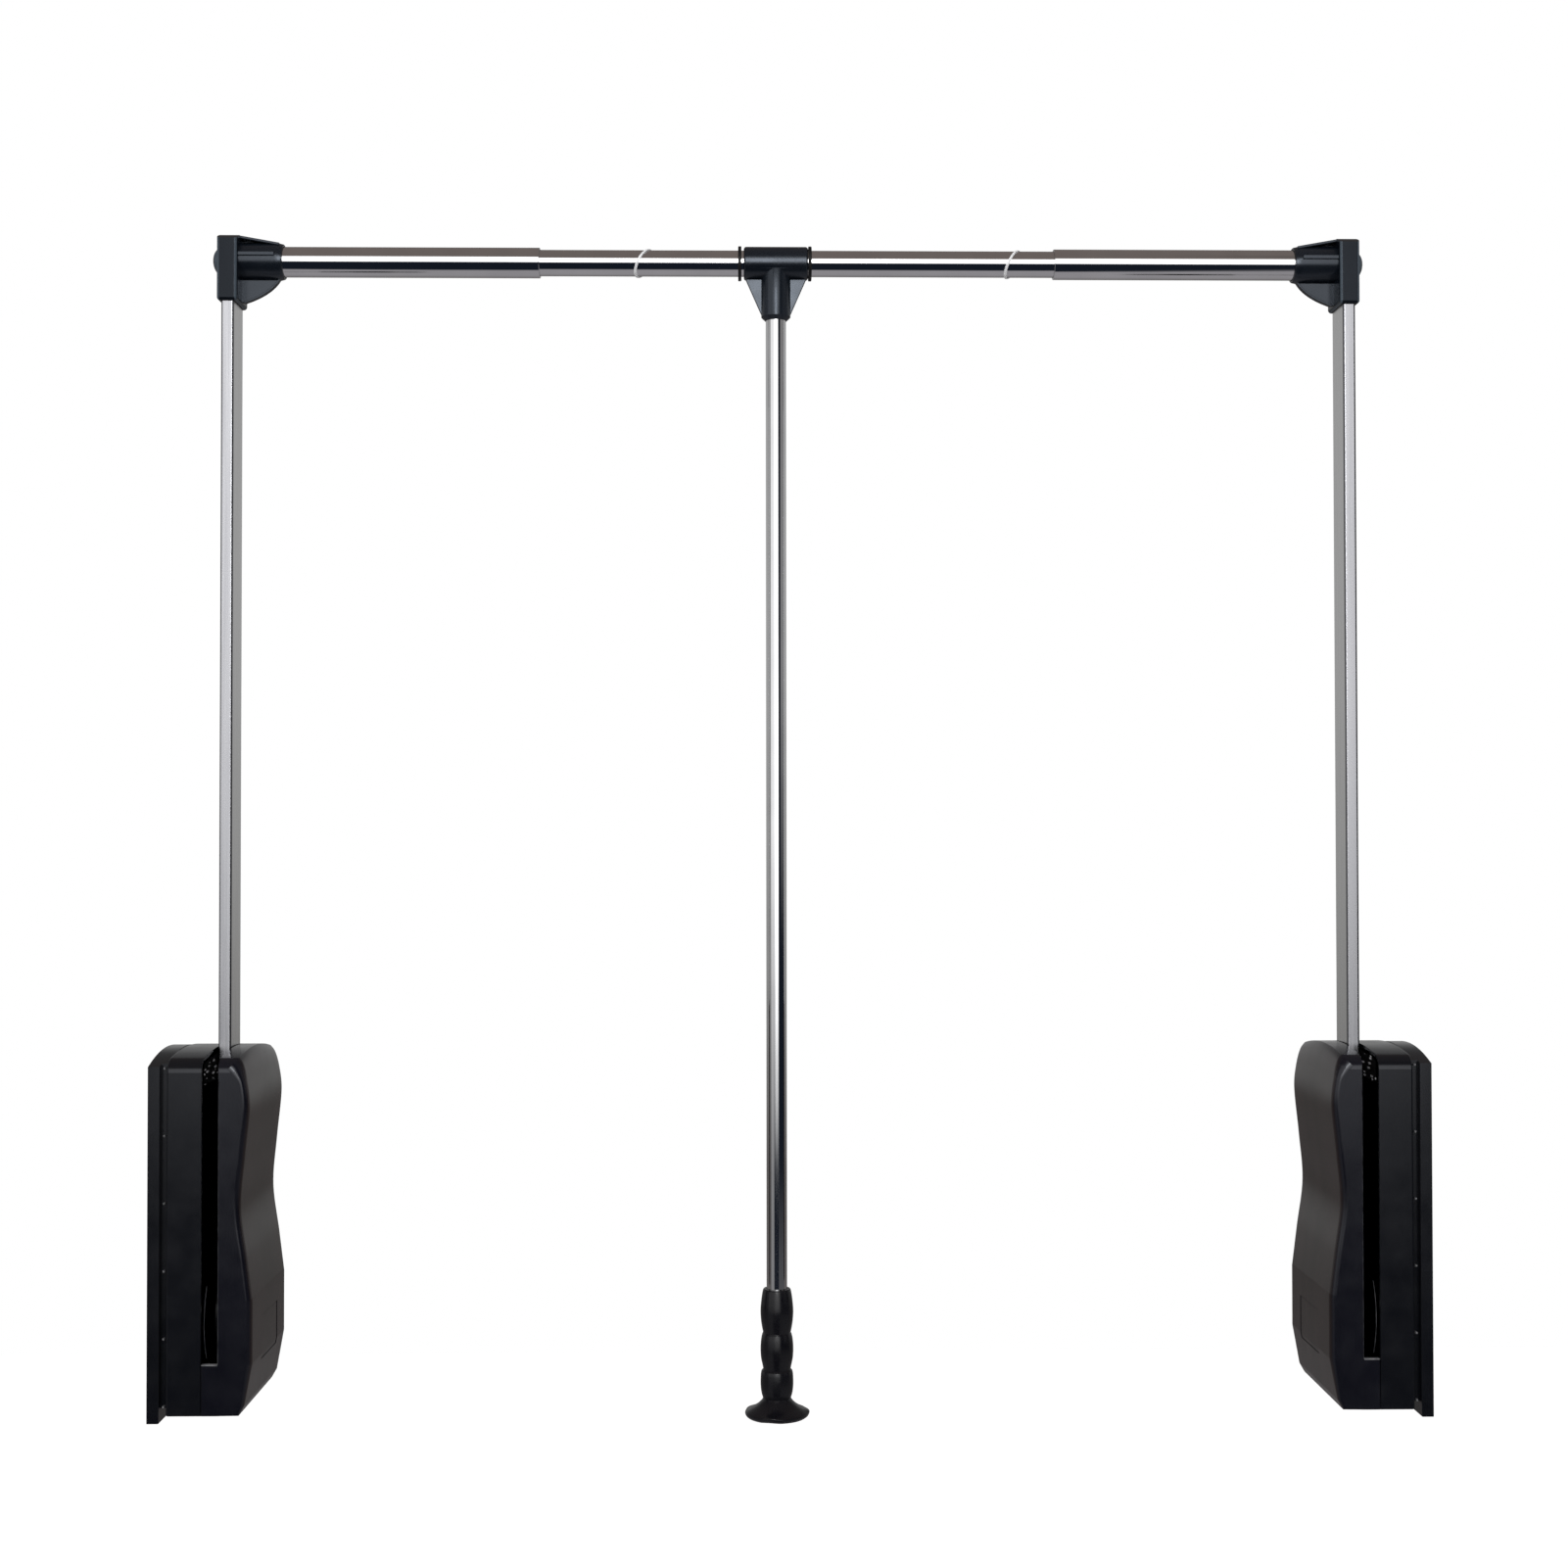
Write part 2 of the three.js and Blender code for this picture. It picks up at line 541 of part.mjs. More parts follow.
// Inner shell: a tray with a wavy side, which also closes the front below the slot
function innerShell() {
  const skin = innerProfile(0);
  const sections = [];
  for (let step = 0; step <= FILLET_STEPS; step += 1) {
    const turn = Math.PI / 2 * step / FILLET_STEPS;
    const inset = FRONT_FILLET * (1 - Math.sin(turn));
    sections.push({ y: BODY_FRONT + FRONT_FILLET * (1 - Math.cos(turn)), side: insetProfile(skin, inset) });
  }
  sections.push({ y: BODY_REAR, side: skin });
  const block = loftY(SLOT_END_X, sections);
  const lining = innerProfile(SHELL_WALL);
  const hollow = loftY(SLOT_END_X - OVERRUN, [
    { y: BODY_FRONT + SHELL_WALL, side: lining }, { y: BODY_REAR - SHELL_WALL, side: lining },
  ]);
  const chin = rectangle(SLOT_X + FIT, SLOT_END_X + SHELL_WALL * 2, BODY_BOTTOM, SLOT_BOTTOM);
  const chinBlock = prismY(chin, BODY_FRONT, BODY_FRONT + FRONT_FILLET * 3, FRONT_FILLET / 2);
  const chinKeep = join(
    box(
      SLOT_X + FIT, SLOT_END_X - FIT,
      BODY_FRONT - OVERRUN, BODY_FRONT + FRONT_FILLET,
      BODY_BOTTOM - OVERRUN, SLOT_BOTTOM + OVERRUN,
    ),
    box(
      SLOT_END_X - FIT * 2, SLOT_END_X + SHELL_WALL / 2,
      BODY_FRONT - OVERRUN, BODY_FRONT + SHELL_WALL,
      BODY_BOTTOM - OVERRUN, SLOT_BOTTOM + OVERRUN,
    ),
  );
  const farSide = SLOT_END_X + BULGE + OVERRUN;
  const arched = block.intersect(underArch(SLOT_END_X - OVERRUN, farSide, 0));
  const archedHollow = hollow.intersect(underArch(SLOT_END_X - OVERRUN * 2, farSide, SHELL_WALL));
  return join(cut(arched, archedHollow), chinBlock.intersect(chinKeep));
}

// Steel cheeks that line the slot
function cheek(x0, hole) {
  const plate = prismX(
    roundedRectangle(
      BODY_FRONT + SHELL_WALL + FIT, BODY_REAR - SHELL_WALL - FIT,
      BODY_BOTTOM + SHELL_WALL + FIT, BODY_TOP - SHELL_WALL - FIT, SHELL_WALL,
    ),
    x0, x0 + CHEEK_THICK,
  );
  const arched = plate.intersect(underArch(x0 - OVERRUN, x0 + CHEEK_THICK + OVERRUN, SHELL_WALL + FIT));
  return cut(arched, rodX(hole, x0 - OVERRUN, x0 + CHEEK_THICK + OVERRUN, 0, 0));
}

function padBox(grow) {
  return box(
    SLOT_X + PAD_PROUD - PAD_THICK - grow, SLOT_X + PAD_PROUD,
    BODY_FRONT + SHELL_WALL * 2 - grow, ARM_DEPTH / 2 + grow,
    BODY_TOP - SHELL_WALL - FIT * 2 - PAD_HEIGHT - grow, BODY_TOP - SHELL_WALL - FIT * 2 + grow * 2,
  );
}

function channelPad() {
  return padBox(0).intersect(underArch(SLOT_X - OVERRUN, SLOT_END_X, SHELL_WALL + FIT * 2));
}

// Spine that closes the slot behind the arm, with the land that carries the rest bumper
function spine() {
  const land = ARM_DEPTH / 2 + FIT * 2 + BUMPER_THICK;
  const rear = BODY_REAR;
  const inner = BODY_REAR - SPINE_THICK;
  const landTop = BODY_TOP - BUMPER_TOP_INSET;
  const shape = outline([
    [BODY_FRONT + FRONT_FILLET + FIT, BODY_BOTTOM],
    [rear, BODY_BOTTOM],
    [rear, BODY_TOP],
    [ARM_DEPTH / 2 + FIT * 2, BODY_TOP],
    [ARM_DEPTH / 2 + FIT * 2, BODY_TOP - SPINE_TOP_THICK],
    [land, BODY_TOP - SPINE_TOP_THICK],
    [land, landTop - BUMPER_HEIGHT],
    [inner, landTop - BUMPER_HEIGHT - SPINE_THICK * 2],
    [inner, BODY_BOTTOM + SPINE_THICK],
    [BODY_FRONT + FRONT_FILLET + FIT, BODY_BOTTOM + SPINE_THICK],
  ]);
  const plain = prismX(shape, SLOT_X + FIT, SLOT_END_X - FIT);
  return plain.intersect(underArch(SLOT_X, SLOT_END_X, 0));
}

function restBumper() {
  const top = BODY_TOP - BUMPER_TOP_INSET;
  const front = ARM_DEPTH / 2 + FIT;
  return prismX(
    roundedRectangle(front, front + BUMPER_THICK, top - BUMPER_HEIGHT, top, BUMPER_THICK / 4),
    ARM_LEFT, ARM_RIGHT,
  );
}

// Arm foot: hub disc, neck and tongue, with a double-D barrel that drives the gear
function doubleD(radius, flat) {
  const angle = Math.acos(flat / radius);
  const shape = new THREE.Shape();
  shape.absarc(0, 0, radius, -Math.PI / 2 + angle, Math.PI / 2 - angle, false);
  shape.absarc(0, 0, radius, Math.PI / 2 + angle, Math.PI * 1.5 - angle, false);
  return shape;
}

function armFoot() {
  const barrel = prismX(doubleD(BARREL_RADIUS, BARREL_RADIUS * BARREL_FLAT_SHARE), GEAR_LEFT, ARM_RIGHT);
  const hub = rodX(HUB_RADIUS, ARM_LEFT, ARM_RIGHT, 0, 0);
  const neck = box(ARM_LEFT, ARM_RIGHT, -ARM_DEPTH / 2, ARM_DEPTH / 2, 0, ARM_START - FIT);
  const margin = ARM_WALL + FIT;
  const tongue = box(
    ARM_LEFT + margin, ARM_RIGHT - margin,
    margin - ARM_DEPTH / 2, ARM_DEPTH / 2 - margin,
    0, ARM_START + TONGUE_LENGTH,
  );
  const bore = rodX(BUSH_RADIUS + FIT, GEAR_LEFT - OVERRUN, ARM_RIGHT + OVERRUN, 0, 0);
  const pinHole = rodX(ARM_PIN_RADIUS + FIT, ARM_LEFT, ARM_RIGHT, 0, ARM_PIN_HEIGHT, SMALL_ROUND);
  return cut(join(barrel, hub, neck, tongue), bore, pinHole);
}

// Drive gear: involute teeth only where they meet the rack between rest and the lowest arm
function involutePoint(baseRadius, radius, side, toothAngle, halfThickness) {
  const roll = Math.sqrt((radius / baseRadius) ** 2 - 1);
  const involute = roll - Math.atan(roll);
  const angle = toothAngle + side * (halfThickness - involute);
  return [radius * Math.cos(angle), radius * Math.sin(angle)];
}

function driveGear() {
  const baseRadius = PITCH_RADIUS * Math.cos(PRESSURE_ANGLE);
  const rootRadius = PITCH_RADIUS - GEAR_MODULE * DEDENDUM_SHARE;
  const tipRadius = PITCH_RADIUS + GEAR_MODULE;
  const pitchStep = Math.PI * 2 / GEAR_TEETH;
  const involuteAtPitch = Math.tan(PRESSURE_ANGLE) - PRESSURE_ANGLE;
  const halfThickness = pitchStep / 4 - BACKLASH / 2 / PITCH_RADIUS + involuteAtPitch;
  const flankRadii = [
    baseRadius, (baseRadius + PITCH_RADIUS) / 2, PITCH_RADIUS, tipRadius - GEAR_MODULE / 2, tipRadius,
  ];
  const points = [];
  for (let tooth = 0; tooth < SECTOR_TEETH; tooth += 1) {
    const angle = (SECTOR_FIRST_TOOTH + tooth) * pitchStep;
    const start = angle - halfThickness;
    const end = angle + halfThickness;
    points.push([rootRadius * Math.cos(start), rootRadius * Math.sin(start)]);
    const flank = (radius, side) => involutePoint(baseRadius, radius, side, angle, halfThickness);
    points.push(...flankRadii.map((radius) => flank(radius, -1)));
    points.push(...flankRadii.map((radius) => flank(radius, 1)).reverse());
    points.push([rootRadius * Math.cos(end), rootRadius * Math.sin(end)]);
  }
  const lastAngle = (SECTOR_FIRST_TOOTH + SECTOR_TEETH) * pitchStep;
  const backStart = lastAngle - pitchStep / 2;
  const backEnd = Math.PI * 2 + (SECTOR_FIRST_TOOTH - 0.5) * pitchStep;
  const backRadius = BARREL_RADIUS + GEAR_MODULE * 2;
  for (let step = 0; step <= SMALL_ROUND / 2; step += 1) {
    const angle = backStart + (backEnd - backStart) * step * 2 / SMALL_ROUND;
    points.push([backRadius * Math.cos(angle), backRadius * Math.sin(angle)]);
  }
  const blank = prismX(outline(points), GEAR_LEFT + FIT, GEAR_RIGHT - FIT);
  const keyed = doubleD(BARREL_RADIUS + FIT, BARREL_RADIUS * BARREL_FLAT_SHARE + FIT);
  return cut(blank, prismX(keyed, GEAR_LEFT - OVERRUN, GEAR_RIGHT + OVERRUN));
}

// Rack: straight teeth on the gear's pitch line, a space facing the gear's middle tooth at rest
function rack() {
  const slope = Math.tan(PRESSURE_ANGLE) * GEAR_MODULE;
  const halfTooth = RACK_PITCH / 4 - BACKLASH / 2;
  const rootSlope = Math.tan(PRESSURE_ANGLE) * (RACK_ROOT - PITCH_RADIUS);
  const points = [[RACK_REAR, RACK_TOP], [RACK_ROOT, RACK_TOP]];
  for (let tooth = RACK_TEETH - 1; tooth >= 0; tooth -= 1) {
    const middle = (tooth - RACK_TEETH_BELOW + 0.5) * RACK_PITCH;
    points.push([RACK_ROOT, middle + halfTooth + rootSlope]);
    points.push([RACK_FRONT, middle + halfTooth - slope]);
    points.push([RACK_FRONT, middle - halfTooth + slope]);
    points.push([RACK_ROOT, middle - halfTooth - rootSlope]);
  }
  points.push([RACK_ROOT, RACK_BOTTOM], [RACK_REAR, RACK_BOTTOM]);
  return prismX(outline(points), GEAR_LEFT, GEAR_RIGHT);
}

function rackGuide() {
  const bottom = BODY_BOTTOM + SHELL_WALL + FIT;
  const block = box(
    GEAR_LEFT - FIT - GUIDE_LIP, GEAR_RIGHT + FIT + GUIDE_LIP,
    RACK_ROOT + FIT, BODY_REAR - SHELL_WALL - FIT,
    bottom, GUIDE_TOP,
  );
  const channel = box(
    GEAR_LEFT - FIT, GEAR_RIGHT + FIT,
    RACK_ROOT - OVERRUN, RACK_REAR + FIT,
    bottom - OVERRUN, GUIDE_TOP + OVERRUN,
  );
  return cut(block, channel);
}

function gasCylinder() {
  const bore = GAS_RADIUS - GAS_WALL;
  const neck = GAS_ROD_RADIUS + FIT;
  return turnedZ([
    [GAS_BOTTOM, neck], [GAS_BOTTOM, GAS_RADIUS], [GAS_TOP, GAS_RADIUS], [GAS_TOP, 0],
    [GAS_TOP - GAS_WALL * 2, 0], [GAS_TOP - GAS_WALL * 2, bore],
    [GAS_BOTTOM + GAS_WALL * 2, bore], [GAS_BOTTOM + GAS_WALL * 2, neck], [GAS_BOTTOM, neck],
  ], GEAR_MIDDLE_X, SPRING_Y, SMALL_ROUND);
}

function gasRod() {
  const pistonBase = GAS_BOTTOM + GAS_WALL * 2 + FIT;
  return turnedZ([
    [RACK_TOP + FIT, 0], [RACK_TOP + FIT, GAS_ROD_RADIUS], [pistonBase, GAS_ROD_RADIUS],
    [pistonBase, GAS_PISTON_RADIUS], [pistonBase + GAS_PISTON_HEIGHT, GAS_PISTON_RADIUS],
    [pistonBase + GAS_PISTON_HEIGHT, 0],
  ], GEAR_MIDDLE_X, SPRING_Y, SMALL_ROUND);
}

function armSection(grow) {
  return roundedRectangle(
    ARM_LEFT - grow, ARM_RIGHT + grow, -ARM_DEPTH / 2 - grow, ARM_DEPTH / 2 + grow, ARM_CORNER + grow,
  );
}

function armTube() {
  const outside = prismZ(armSection(0), ARM_START, ARM_TOP);
  const inside = prismZ(
    roundedRectangle(
      ARM_LEFT + ARM_WALL, ARM_RIGHT - ARM_WALL,
      ARM_WALL - ARM_DEPTH / 2, ARM_DEPTH / 2 - ARM_WALL, ARM_CORNER - ARM_WALL,
    ),
    ARM_START - OVERRUN, ARM_TOP + OVERRUN,
  );
  const across = (radius, z) => rodX(radius, ARM_LEFT - OVERRUN, ARM_RIGHT + OVERRUN, 0, z, SMALL_ROUND);
  const boltHole = across(BOLT_RADIUS + FIT, RAIL_HEIGHT);
  const pinHole = across(ARM_PIN_RADIUS + FIT, ARM_PIN_HEIGHT);
  return cut(outside, inside, boltHole, pinHole);
}

// Space under the crowned top of the bracket's block
function underCrown(top, bottom) {
  const half = BRACKET_HALF_DEPTH + OVERRUN;
  const edge = top - BRACKET_CROWN_DROP * (half / BRACKET_HALF_DEPTH) ** 2;
  const shape = new THREE.Shape();
  shape.moveTo(-half, bottom - OVERRUN);
  shape.lineTo(half, bottom - OVERRUN);
  shape.lineTo(half, edge);
  shape.quadraticCurveTo(0, top * 2 - edge, -half, edge);
  return prismX(shape, BRACKET_LEFT - OVERRUN, BRACKET_RIGHT + OVERRUN);
}

// End bracket: block over the arm's end, socket for the rail, webs above and below the socket
function railBracket() {
  const top = RAIL_HEIGHT + BRACKET_TOP;
  const bottom = RAIL_HEIGHT - BRACKET_BOTTOM;
  const block = prismY(
    roundedRectangle(BRACKET_LEFT, BRACKET_RIGHT, bottom, top, BRACKET_CORNER),
    -BRACKET_HALF_DEPTH, BRACKET_HALF_DEPTH, BRACKET_CORNER / 2,
  ).intersect(underCrown(top, bottom));
  const mouth = BRACKET_RIGHT + SOCKET_LENGTH;
  const socket = turnedX([
    [BRACKET_RIGHT - OVERRUN, 0], [BRACKET_RIGHT - OVERRUN, SOCKET_RADIUS],
    [mouth - MOUTH_TAPER, SOCKET_RADIUS], [mouth, MOUTH_RADIUS], [mouth, 0],
  ], 0, RAIL_HEIGHT);
  const web = new THREE.Shape();
  web.moveTo(BRACKET_RIGHT - OVERRUN, top - BRACKET_CORNER);
  web.lineTo(BRACKET_RIGHT - OVERRUN, bottom + BRACKET_CORNER);
  web.lineTo(BRACKET_RIGHT + OVERRUN, bottom + BRACKET_CORNER / 2);
  web.quadraticCurveTo(
    BRACKET_RIGHT + SOCKET_LENGTH * WEB_CURVE_SHARES[0], RAIL_HEIGHT - BRACKET_BOTTOM * WEB_CURVE_SHARES[1],
    mouth - MOUTH_TAPER / 2, RAIL_HEIGHT - MOUTH_RADIUS,
  );
  web.lineTo(mouth - MOUTH_TAPER / 2, RAIL_HEIGHT + MOUTH_RADIUS);
  web.lineTo(BRACKET_RIGHT + OVERRUN, top - BRACKET_CORNER / 2);
  const webPlate = prismY(web, -WEB_THICK / 2, WEB_THICK / 2);
  const flangeStart = top - BRACKET_CORNER / 2;
  const flangeEnd = RAIL_HEIGHT + MOUTH_RADIUS;
  const flange = prismY(outline([
    [BRACKET_RIGHT - OVERRUN, flangeStart - FLANGE_THICK], [mouth - MOUTH_TAPER / 2, flangeEnd - FLANGE_THICK],
    [mouth - MOUTH_TAPER / 2, flangeEnd], [BRACKET_RIGHT - OVERRUN, flangeStart],
  ]), -FLANGE_HALF_DEPTH, FLANGE_HALF_DEPTH);
  const ribZ = RAIL_HEIGHT + RIB_OFFSET;
  const rib = box(
    BRACKET_RIGHT - OVERRUN, mouth - MOUTH_TAPER,
    -SOCKET_RADIUS - RIB_PROUD, 0,
    ribZ - RIB_THICK / 2, ribZ + RIB_THICK / 2,
  );
  const pocket = prismZ(armSection(FIT), bottom - OVERRUN, top - POCKET_ROOF);
  const boreStart = BRACKET_RIGHT + SOCKET_SOLID;
  const railBore = rodX(OUTER_RAIL_RADIUS + FIT, boreStart, mouth + OVERRUN, 0, RAIL_HEIGHT);
  const boltEnd = boreStart - BOLT_TIP_GAP / 2;
  const boltBore = rodX(BOLT_RADIUS + FIT, BRACKET_LEFT - OVERRUN, boltEnd, 0, RAIL_HEIGHT, SMALL_ROUND);
  return cut(join(block, socket, webPlate, flange, rib), pocket, railBore, boltBore);
}

// Domed bolt head, from its crown to its seat: [share of the head's height, share of its radius]
const BOLT_DOME_SHARES = [[1, 0], [1, 0.45], [0.6, 0.8], [0, 1]];

function bracketBolt() {
  const seat = BRACKET_LEFT - FIT;
  const tip = BRACKET_RIGHT + SOCKET_SOLID - BOLT_TIP_GAP;
  const dome = BOLT_DOME_SHARES.map(([heightShare, radiusShare]) => (
    [seat - BOLT_HEAD_HEIGHT * heightShare, BOLT_HEAD_RADIUS * radiusShare]
  ));
  return turnedX([...dome, [seat, BOLT_RADIUS], [tip, BOLT_RADIUS], [tip, 0]], 0, RAIL_HEIGHT, SMALL_ROUND);
}

function casingScrew(z) {
  const seat = OUTER_X + SHELL_WALL + FIT;
  return turnedX([
    [seat - CASING_SCREW_LENGTH, 0], [seat - CASING_SCREW_LENGTH, CASING_SCREW_RADIUS],
    [seat, CASING_SCREW_RADIUS], [seat, CASING_SCREW_HEAD_RADIUS],
    [seat + CASING_SCREW_HEAD, CASING_SCREW_HEAD_RADIUS], [seat + CASING_SCREW_HEAD, 0],
  ], CASING_SCREW_Y, z, SMALL_ROUND);
}

// One side, built as the left one and mirrored for the right one
function buildSide(prefix, railLength) {
  const side = new THREE.Group();
  const add = (name, body, material) => addPiece(side, `${prefix}_${name}`, body, material);
  const innerCheekX = SLOT_END_X;
  const axleEnd = innerCheekX + CHEEK_THICK + AXLE_TAIL;
  add('wall_plate', wallPlate(), housingPlastic);
  add('outer_shell', outerShell(), housingPlastic);
  add('inner_shell', innerShell(), shellPlastic);
  add('outer_cheek', cut(cheek(SLOT_X - CHEEK_THICK, BARREL_RADIUS + FIT * 2), padBox(FIT)), blackSteel);
  add('inner_cheek', cheek(innerCheekX, AXLE_RADIUS + FIT), blackSteel);
  add('spine', spine(), housingPlastic);
  add('rest_bumper', restBumper(), rubber);
  add('channel_pad', channelPad(), foam);
  CASING_SCREW_HEIGHTS.forEach((z, i) => add(`casing_screw_${i + 1}`, casingScrew(z), zincSteel));
  add('pivot_axle', rodX(AXLE_RADIUS, AXLE_SOCKET_FLOOR + FIT, axleEnd, 0, 0, SMALL_ROUND), zincSteel);
  add('axle_circlip', tubeX(
    AXLE_RADIUS + CIRCLIP_RING, AXLE_RADIUS + FIT,
    innerCheekX + CHEEK_THICK + FIT, innerCheekX + CHEEK_THICK + FIT + CIRCLIP_WIDTH, 0, 0, SMALL_ROUND,
  ), zincSteel);
  add('pivot_bush', tubeX(
    BUSH_RADIUS, AXLE_RADIUS + FIT, GEAR_LEFT - FIT, innerCheekX - FIT, 0, 0, SMALL_ROUND,
  ), nylon);
  add('arm_foot', armFoot(), blackSteel);
  add('drive_gear', driveGear(), gearPlastic);
  add('rack', rack(), gearPlastic);
  add('rack_guide', rackGuide(), nylon);
  add('gas_cylinder', gasCylinder(), blackSteel);
  add('gas_rod', gasRod(), zincSteel);
  add('arm_tube', armTube(), aluminium);
  add('arm_pin', rodX(
    ARM_PIN_RADIUS, ARM_LEFT + FIT, ARM_RIGHT - FIT, 0, ARM_PIN_HEIGHT, SMALL_ROUND,
  ), zincSteel);
  add('rail_bracket', railBracket(), slatePlastic);
  add('bracket_bolt', bracketBolt(), slatePlastic);
  add('outer_rail', tubeX(
    OUTER_RAIL_RADIUS, OUTER_RAIL_RADIUS - RAIL_WALL,
    OUTER_RAIL_START, OUTER_RAIL_START + railLength, 0, RAIL_HEIGHT,
  ), chrome);
  return side;
}

// Wire ring that leans on the inner rail
function stopRing(x) {
  const radius = INNER_RAIL_RADIUS + STOP_RING_WIRE + FIT * 2;
  const geometry = new THREE.TorusGeometry(radius, STOP_RING_WIRE, WIRE_ROUND, ROUND);
  geometry.rotateY(Math.PI / 2);
  const slant = new THREE.Matrix4();
  slant.makeShear(0, 0, Math.tan(STOP_RING_YAW), 0, Math.tan(STOP_RING_LEAN), 0);
  geometry.applyMatrix4(slant);
  geometry.translate(x, 0, RAIL_HEIGHT);
  return solid(geometry);
}

// Tee connector: sleeve round the rail, stem for the pull rod and a web on each side
function teeConnector() {
  const left = TEE_X - TEE_LENGTH / 2;
  const right = TEE_X + TEE_LENGTH / 2;
  const sleeve = turnedX([
    [left, 0], [left, TEE_RADIUS - TEE_END_CHAMFER], [left + TEE_END_CHAMFER, TEE_RADIUS],
    [right - TEE_END_CHAMFER, TEE_RADIUS], [right, TEE_RADIUS - TEE_END_CHAMFER], [right, 0],
  ], 0, RAIL_HEIGHT);
  const foot = RAIL_HEIGHT - STEM_LENGTH;
  const stem = turnedZ([
    [foot, 0], [foot, STEM_RADIUS - STEM_CHAMFER], [foot + STEM_CHAMFER, STEM_RADIUS],
    [RAIL_HEIGHT, STEM_RADIUS], [RAIL_HEIGHT, 0],
  ], TEE_X, 0);
  const web = outline([
    [left + TEE_END_CHAMFER, RAIL_HEIGHT - TEE_RADIUS / 2],
    [left + TEE_END_CHAMFER, RAIL_HEIGHT - TEE_RADIUS],
    [TEE_X - STEM_RADIUS, RAIL_HEIGHT - TEE_WEB_REACH],
    [TEE_X + STEM_RADIUS, RAIL_HEIGHT - TEE_WEB_REACH],
    [right - TEE_END_CHAMFER, RAIL_HEIGHT - TEE_RADIUS],
    [right - TEE_END_CHAMFER, RAIL_HEIGHT - TEE_RADIUS / 2],
  ]);
  const webPlate = prismY(web, -TEE_WEB_THICK / 2, TEE_WEB_THICK / 2);
  const bore = rodX(INNER_RAIL_RADIUS + FIT, left - OVERRUN, right + OVERRUN, 0, RAIL_HEIGHT);
  const socket = rodZ(
    ROD_RADIUS + FIT, foot - OVERRUN, RAIL_HEIGHT - INNER_RAIL_RADIUS - FIT - STEM_ROOF, TEE_X, 0,
  );
  return cut(join(sleeve, stem, webPlate), bore, socket);
}

function teeRing(x0) {
  return tubeX(TEE_RING_RADIUS, INNER_RAIL_RADIUS + FIT, x0, x0 + TEE_RING_WIDTH, 0, RAIL_HEIGHT);
}

// Grip outline from the underside up: [share of the grip's length, share of a radius, that radius]
const GRIP_SHARES = [
  [0, 0.9, GRIP_BASE_RADIUS], [0.015, 0.97, GRIP_BASE_RADIUS], [0.035, 1, GRIP_BASE_RADIUS],
  [0.055, 0.86, GRIP_BASE_RADIUS], [0.077, 0.69, GRIP_BASE_RADIUS], [0.1, 0.57, GRIP_BASE_RADIUS],
  [0.146, 1.03, GRIP_WAIST], [0.195, 0.95, GRIP_BULGE], [0.26, 1, GRIP_BULGE], [0.33, 0.98, GRIP_BULGE],
  [0.362, 0.92, GRIP_BULGE], [0.373, 1, GRIP_WAIST], [0.455, 0.93, GRIP_BULGE], [0.53, 1, GRIP_BULGE],
  [0.6, 0.95, GRIP_BULGE], [0.65, 0.88, GRIP_BULGE], [0.66, 1.02, GRIP_WAIST], [0.73, 0.94, GRIP_BULGE],
  [0.83, 1, GRIP_BULGE], [0.92, 0.93, GRIP_BULGE], [1, 1, GRIP_WAIST],
];

function handleGrip() {
  const bottom = RAIL_HEIGHT - HANDLE_LENGTH;
  const skin = GRIP_SHARES.map(([lengthShare, radiusShare, radius]) => (
    [bottom + GRIP_LENGTH * lengthShare, radius * radiusShare]
  ));
  const body = turnedZ([[bottom, 0], ...skin, [bottom + GRIP_LENGTH, 0]], TEE_X, 0);
  const bore = rodZ(ROD_RADIUS + FIT, bottom + GRIP_FLOOR, bottom + GRIP_LENGTH + OVERRUN, TEE_X, 0);
  return cut(body, bore);
}

function pullRod() {
  const top = RAIL_HEIGHT - INNER_RAIL_RADIUS - FIT - STEM_ROOF - FIT;
  const bottom = RAIL_HEIGHT - HANDLE_LENGTH + GRIP_FLOOR + FIT;
  return turnedZ([
    [bottom, ROD_RADIUS - ROD_WALL], [bottom, ROD_RADIUS], [top, ROD_RADIUS],
    [top, ROD_RADIUS - ROD_WALL], [bottom, ROD_RADIUS - ROD_WALL],
  ], TEE_X, 0);
}

// Assembly
const closetRod = new THREE.Group();
const leftSide = buildSide('left', LEFT_RAIL_LENGTH);
const rightSide = buildSide('right', RIGHT_RAIL_LENGTH);
rightSide.scale.x = -1;
rightSide.position.x = SPAN;
closetRod.add(leftSide, rightSide);

addPiece(closetRod, 'inner_rail', tubeX(
  INNER_RAIL_RADIUS, INNER_RAIL_RADIUS - RAIL_WALL,
  INNER_RAIL_START, INNER_RAIL_END, 0, RAIL_HEIGHT,
), chrome);
addPiece(closetRod, 'left_stop_ring', stopRing(BARE_START + BARE_LENGTH * LEFT_RING_SHARE), chrome);
addPiece(closetRod, 'right_stop_ring', stopRing(BARE_START + BARE_LENGTH * RIGHT_RING_SHARE), chrome);
addPiece(closetRod, 'left_tee_ring', teeRing(TEE_X - TEE_LENGTH / 2 - TEE_RING_GAP - TEE_RING_WIDTH), rubber);
addPiece(closetRod, 'right_tee_ring', teeRing(TEE_X + TEE_LENGTH / 2 + FIT), rubber);
addPiece(closetRod, 'tee_connector', teeConnector(), slatePlastic);
addPiece(closetRod, 'pull_rod', pullRod(), chrome);
addPiece(closetRod, 'handle_grip', handleGrip(), rubber);

export default closetRod;
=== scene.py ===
import json
from math import cos, pi, radians, sin, tan

import bmesh
import bpy
from mathutils import Matrix, Vector, noise


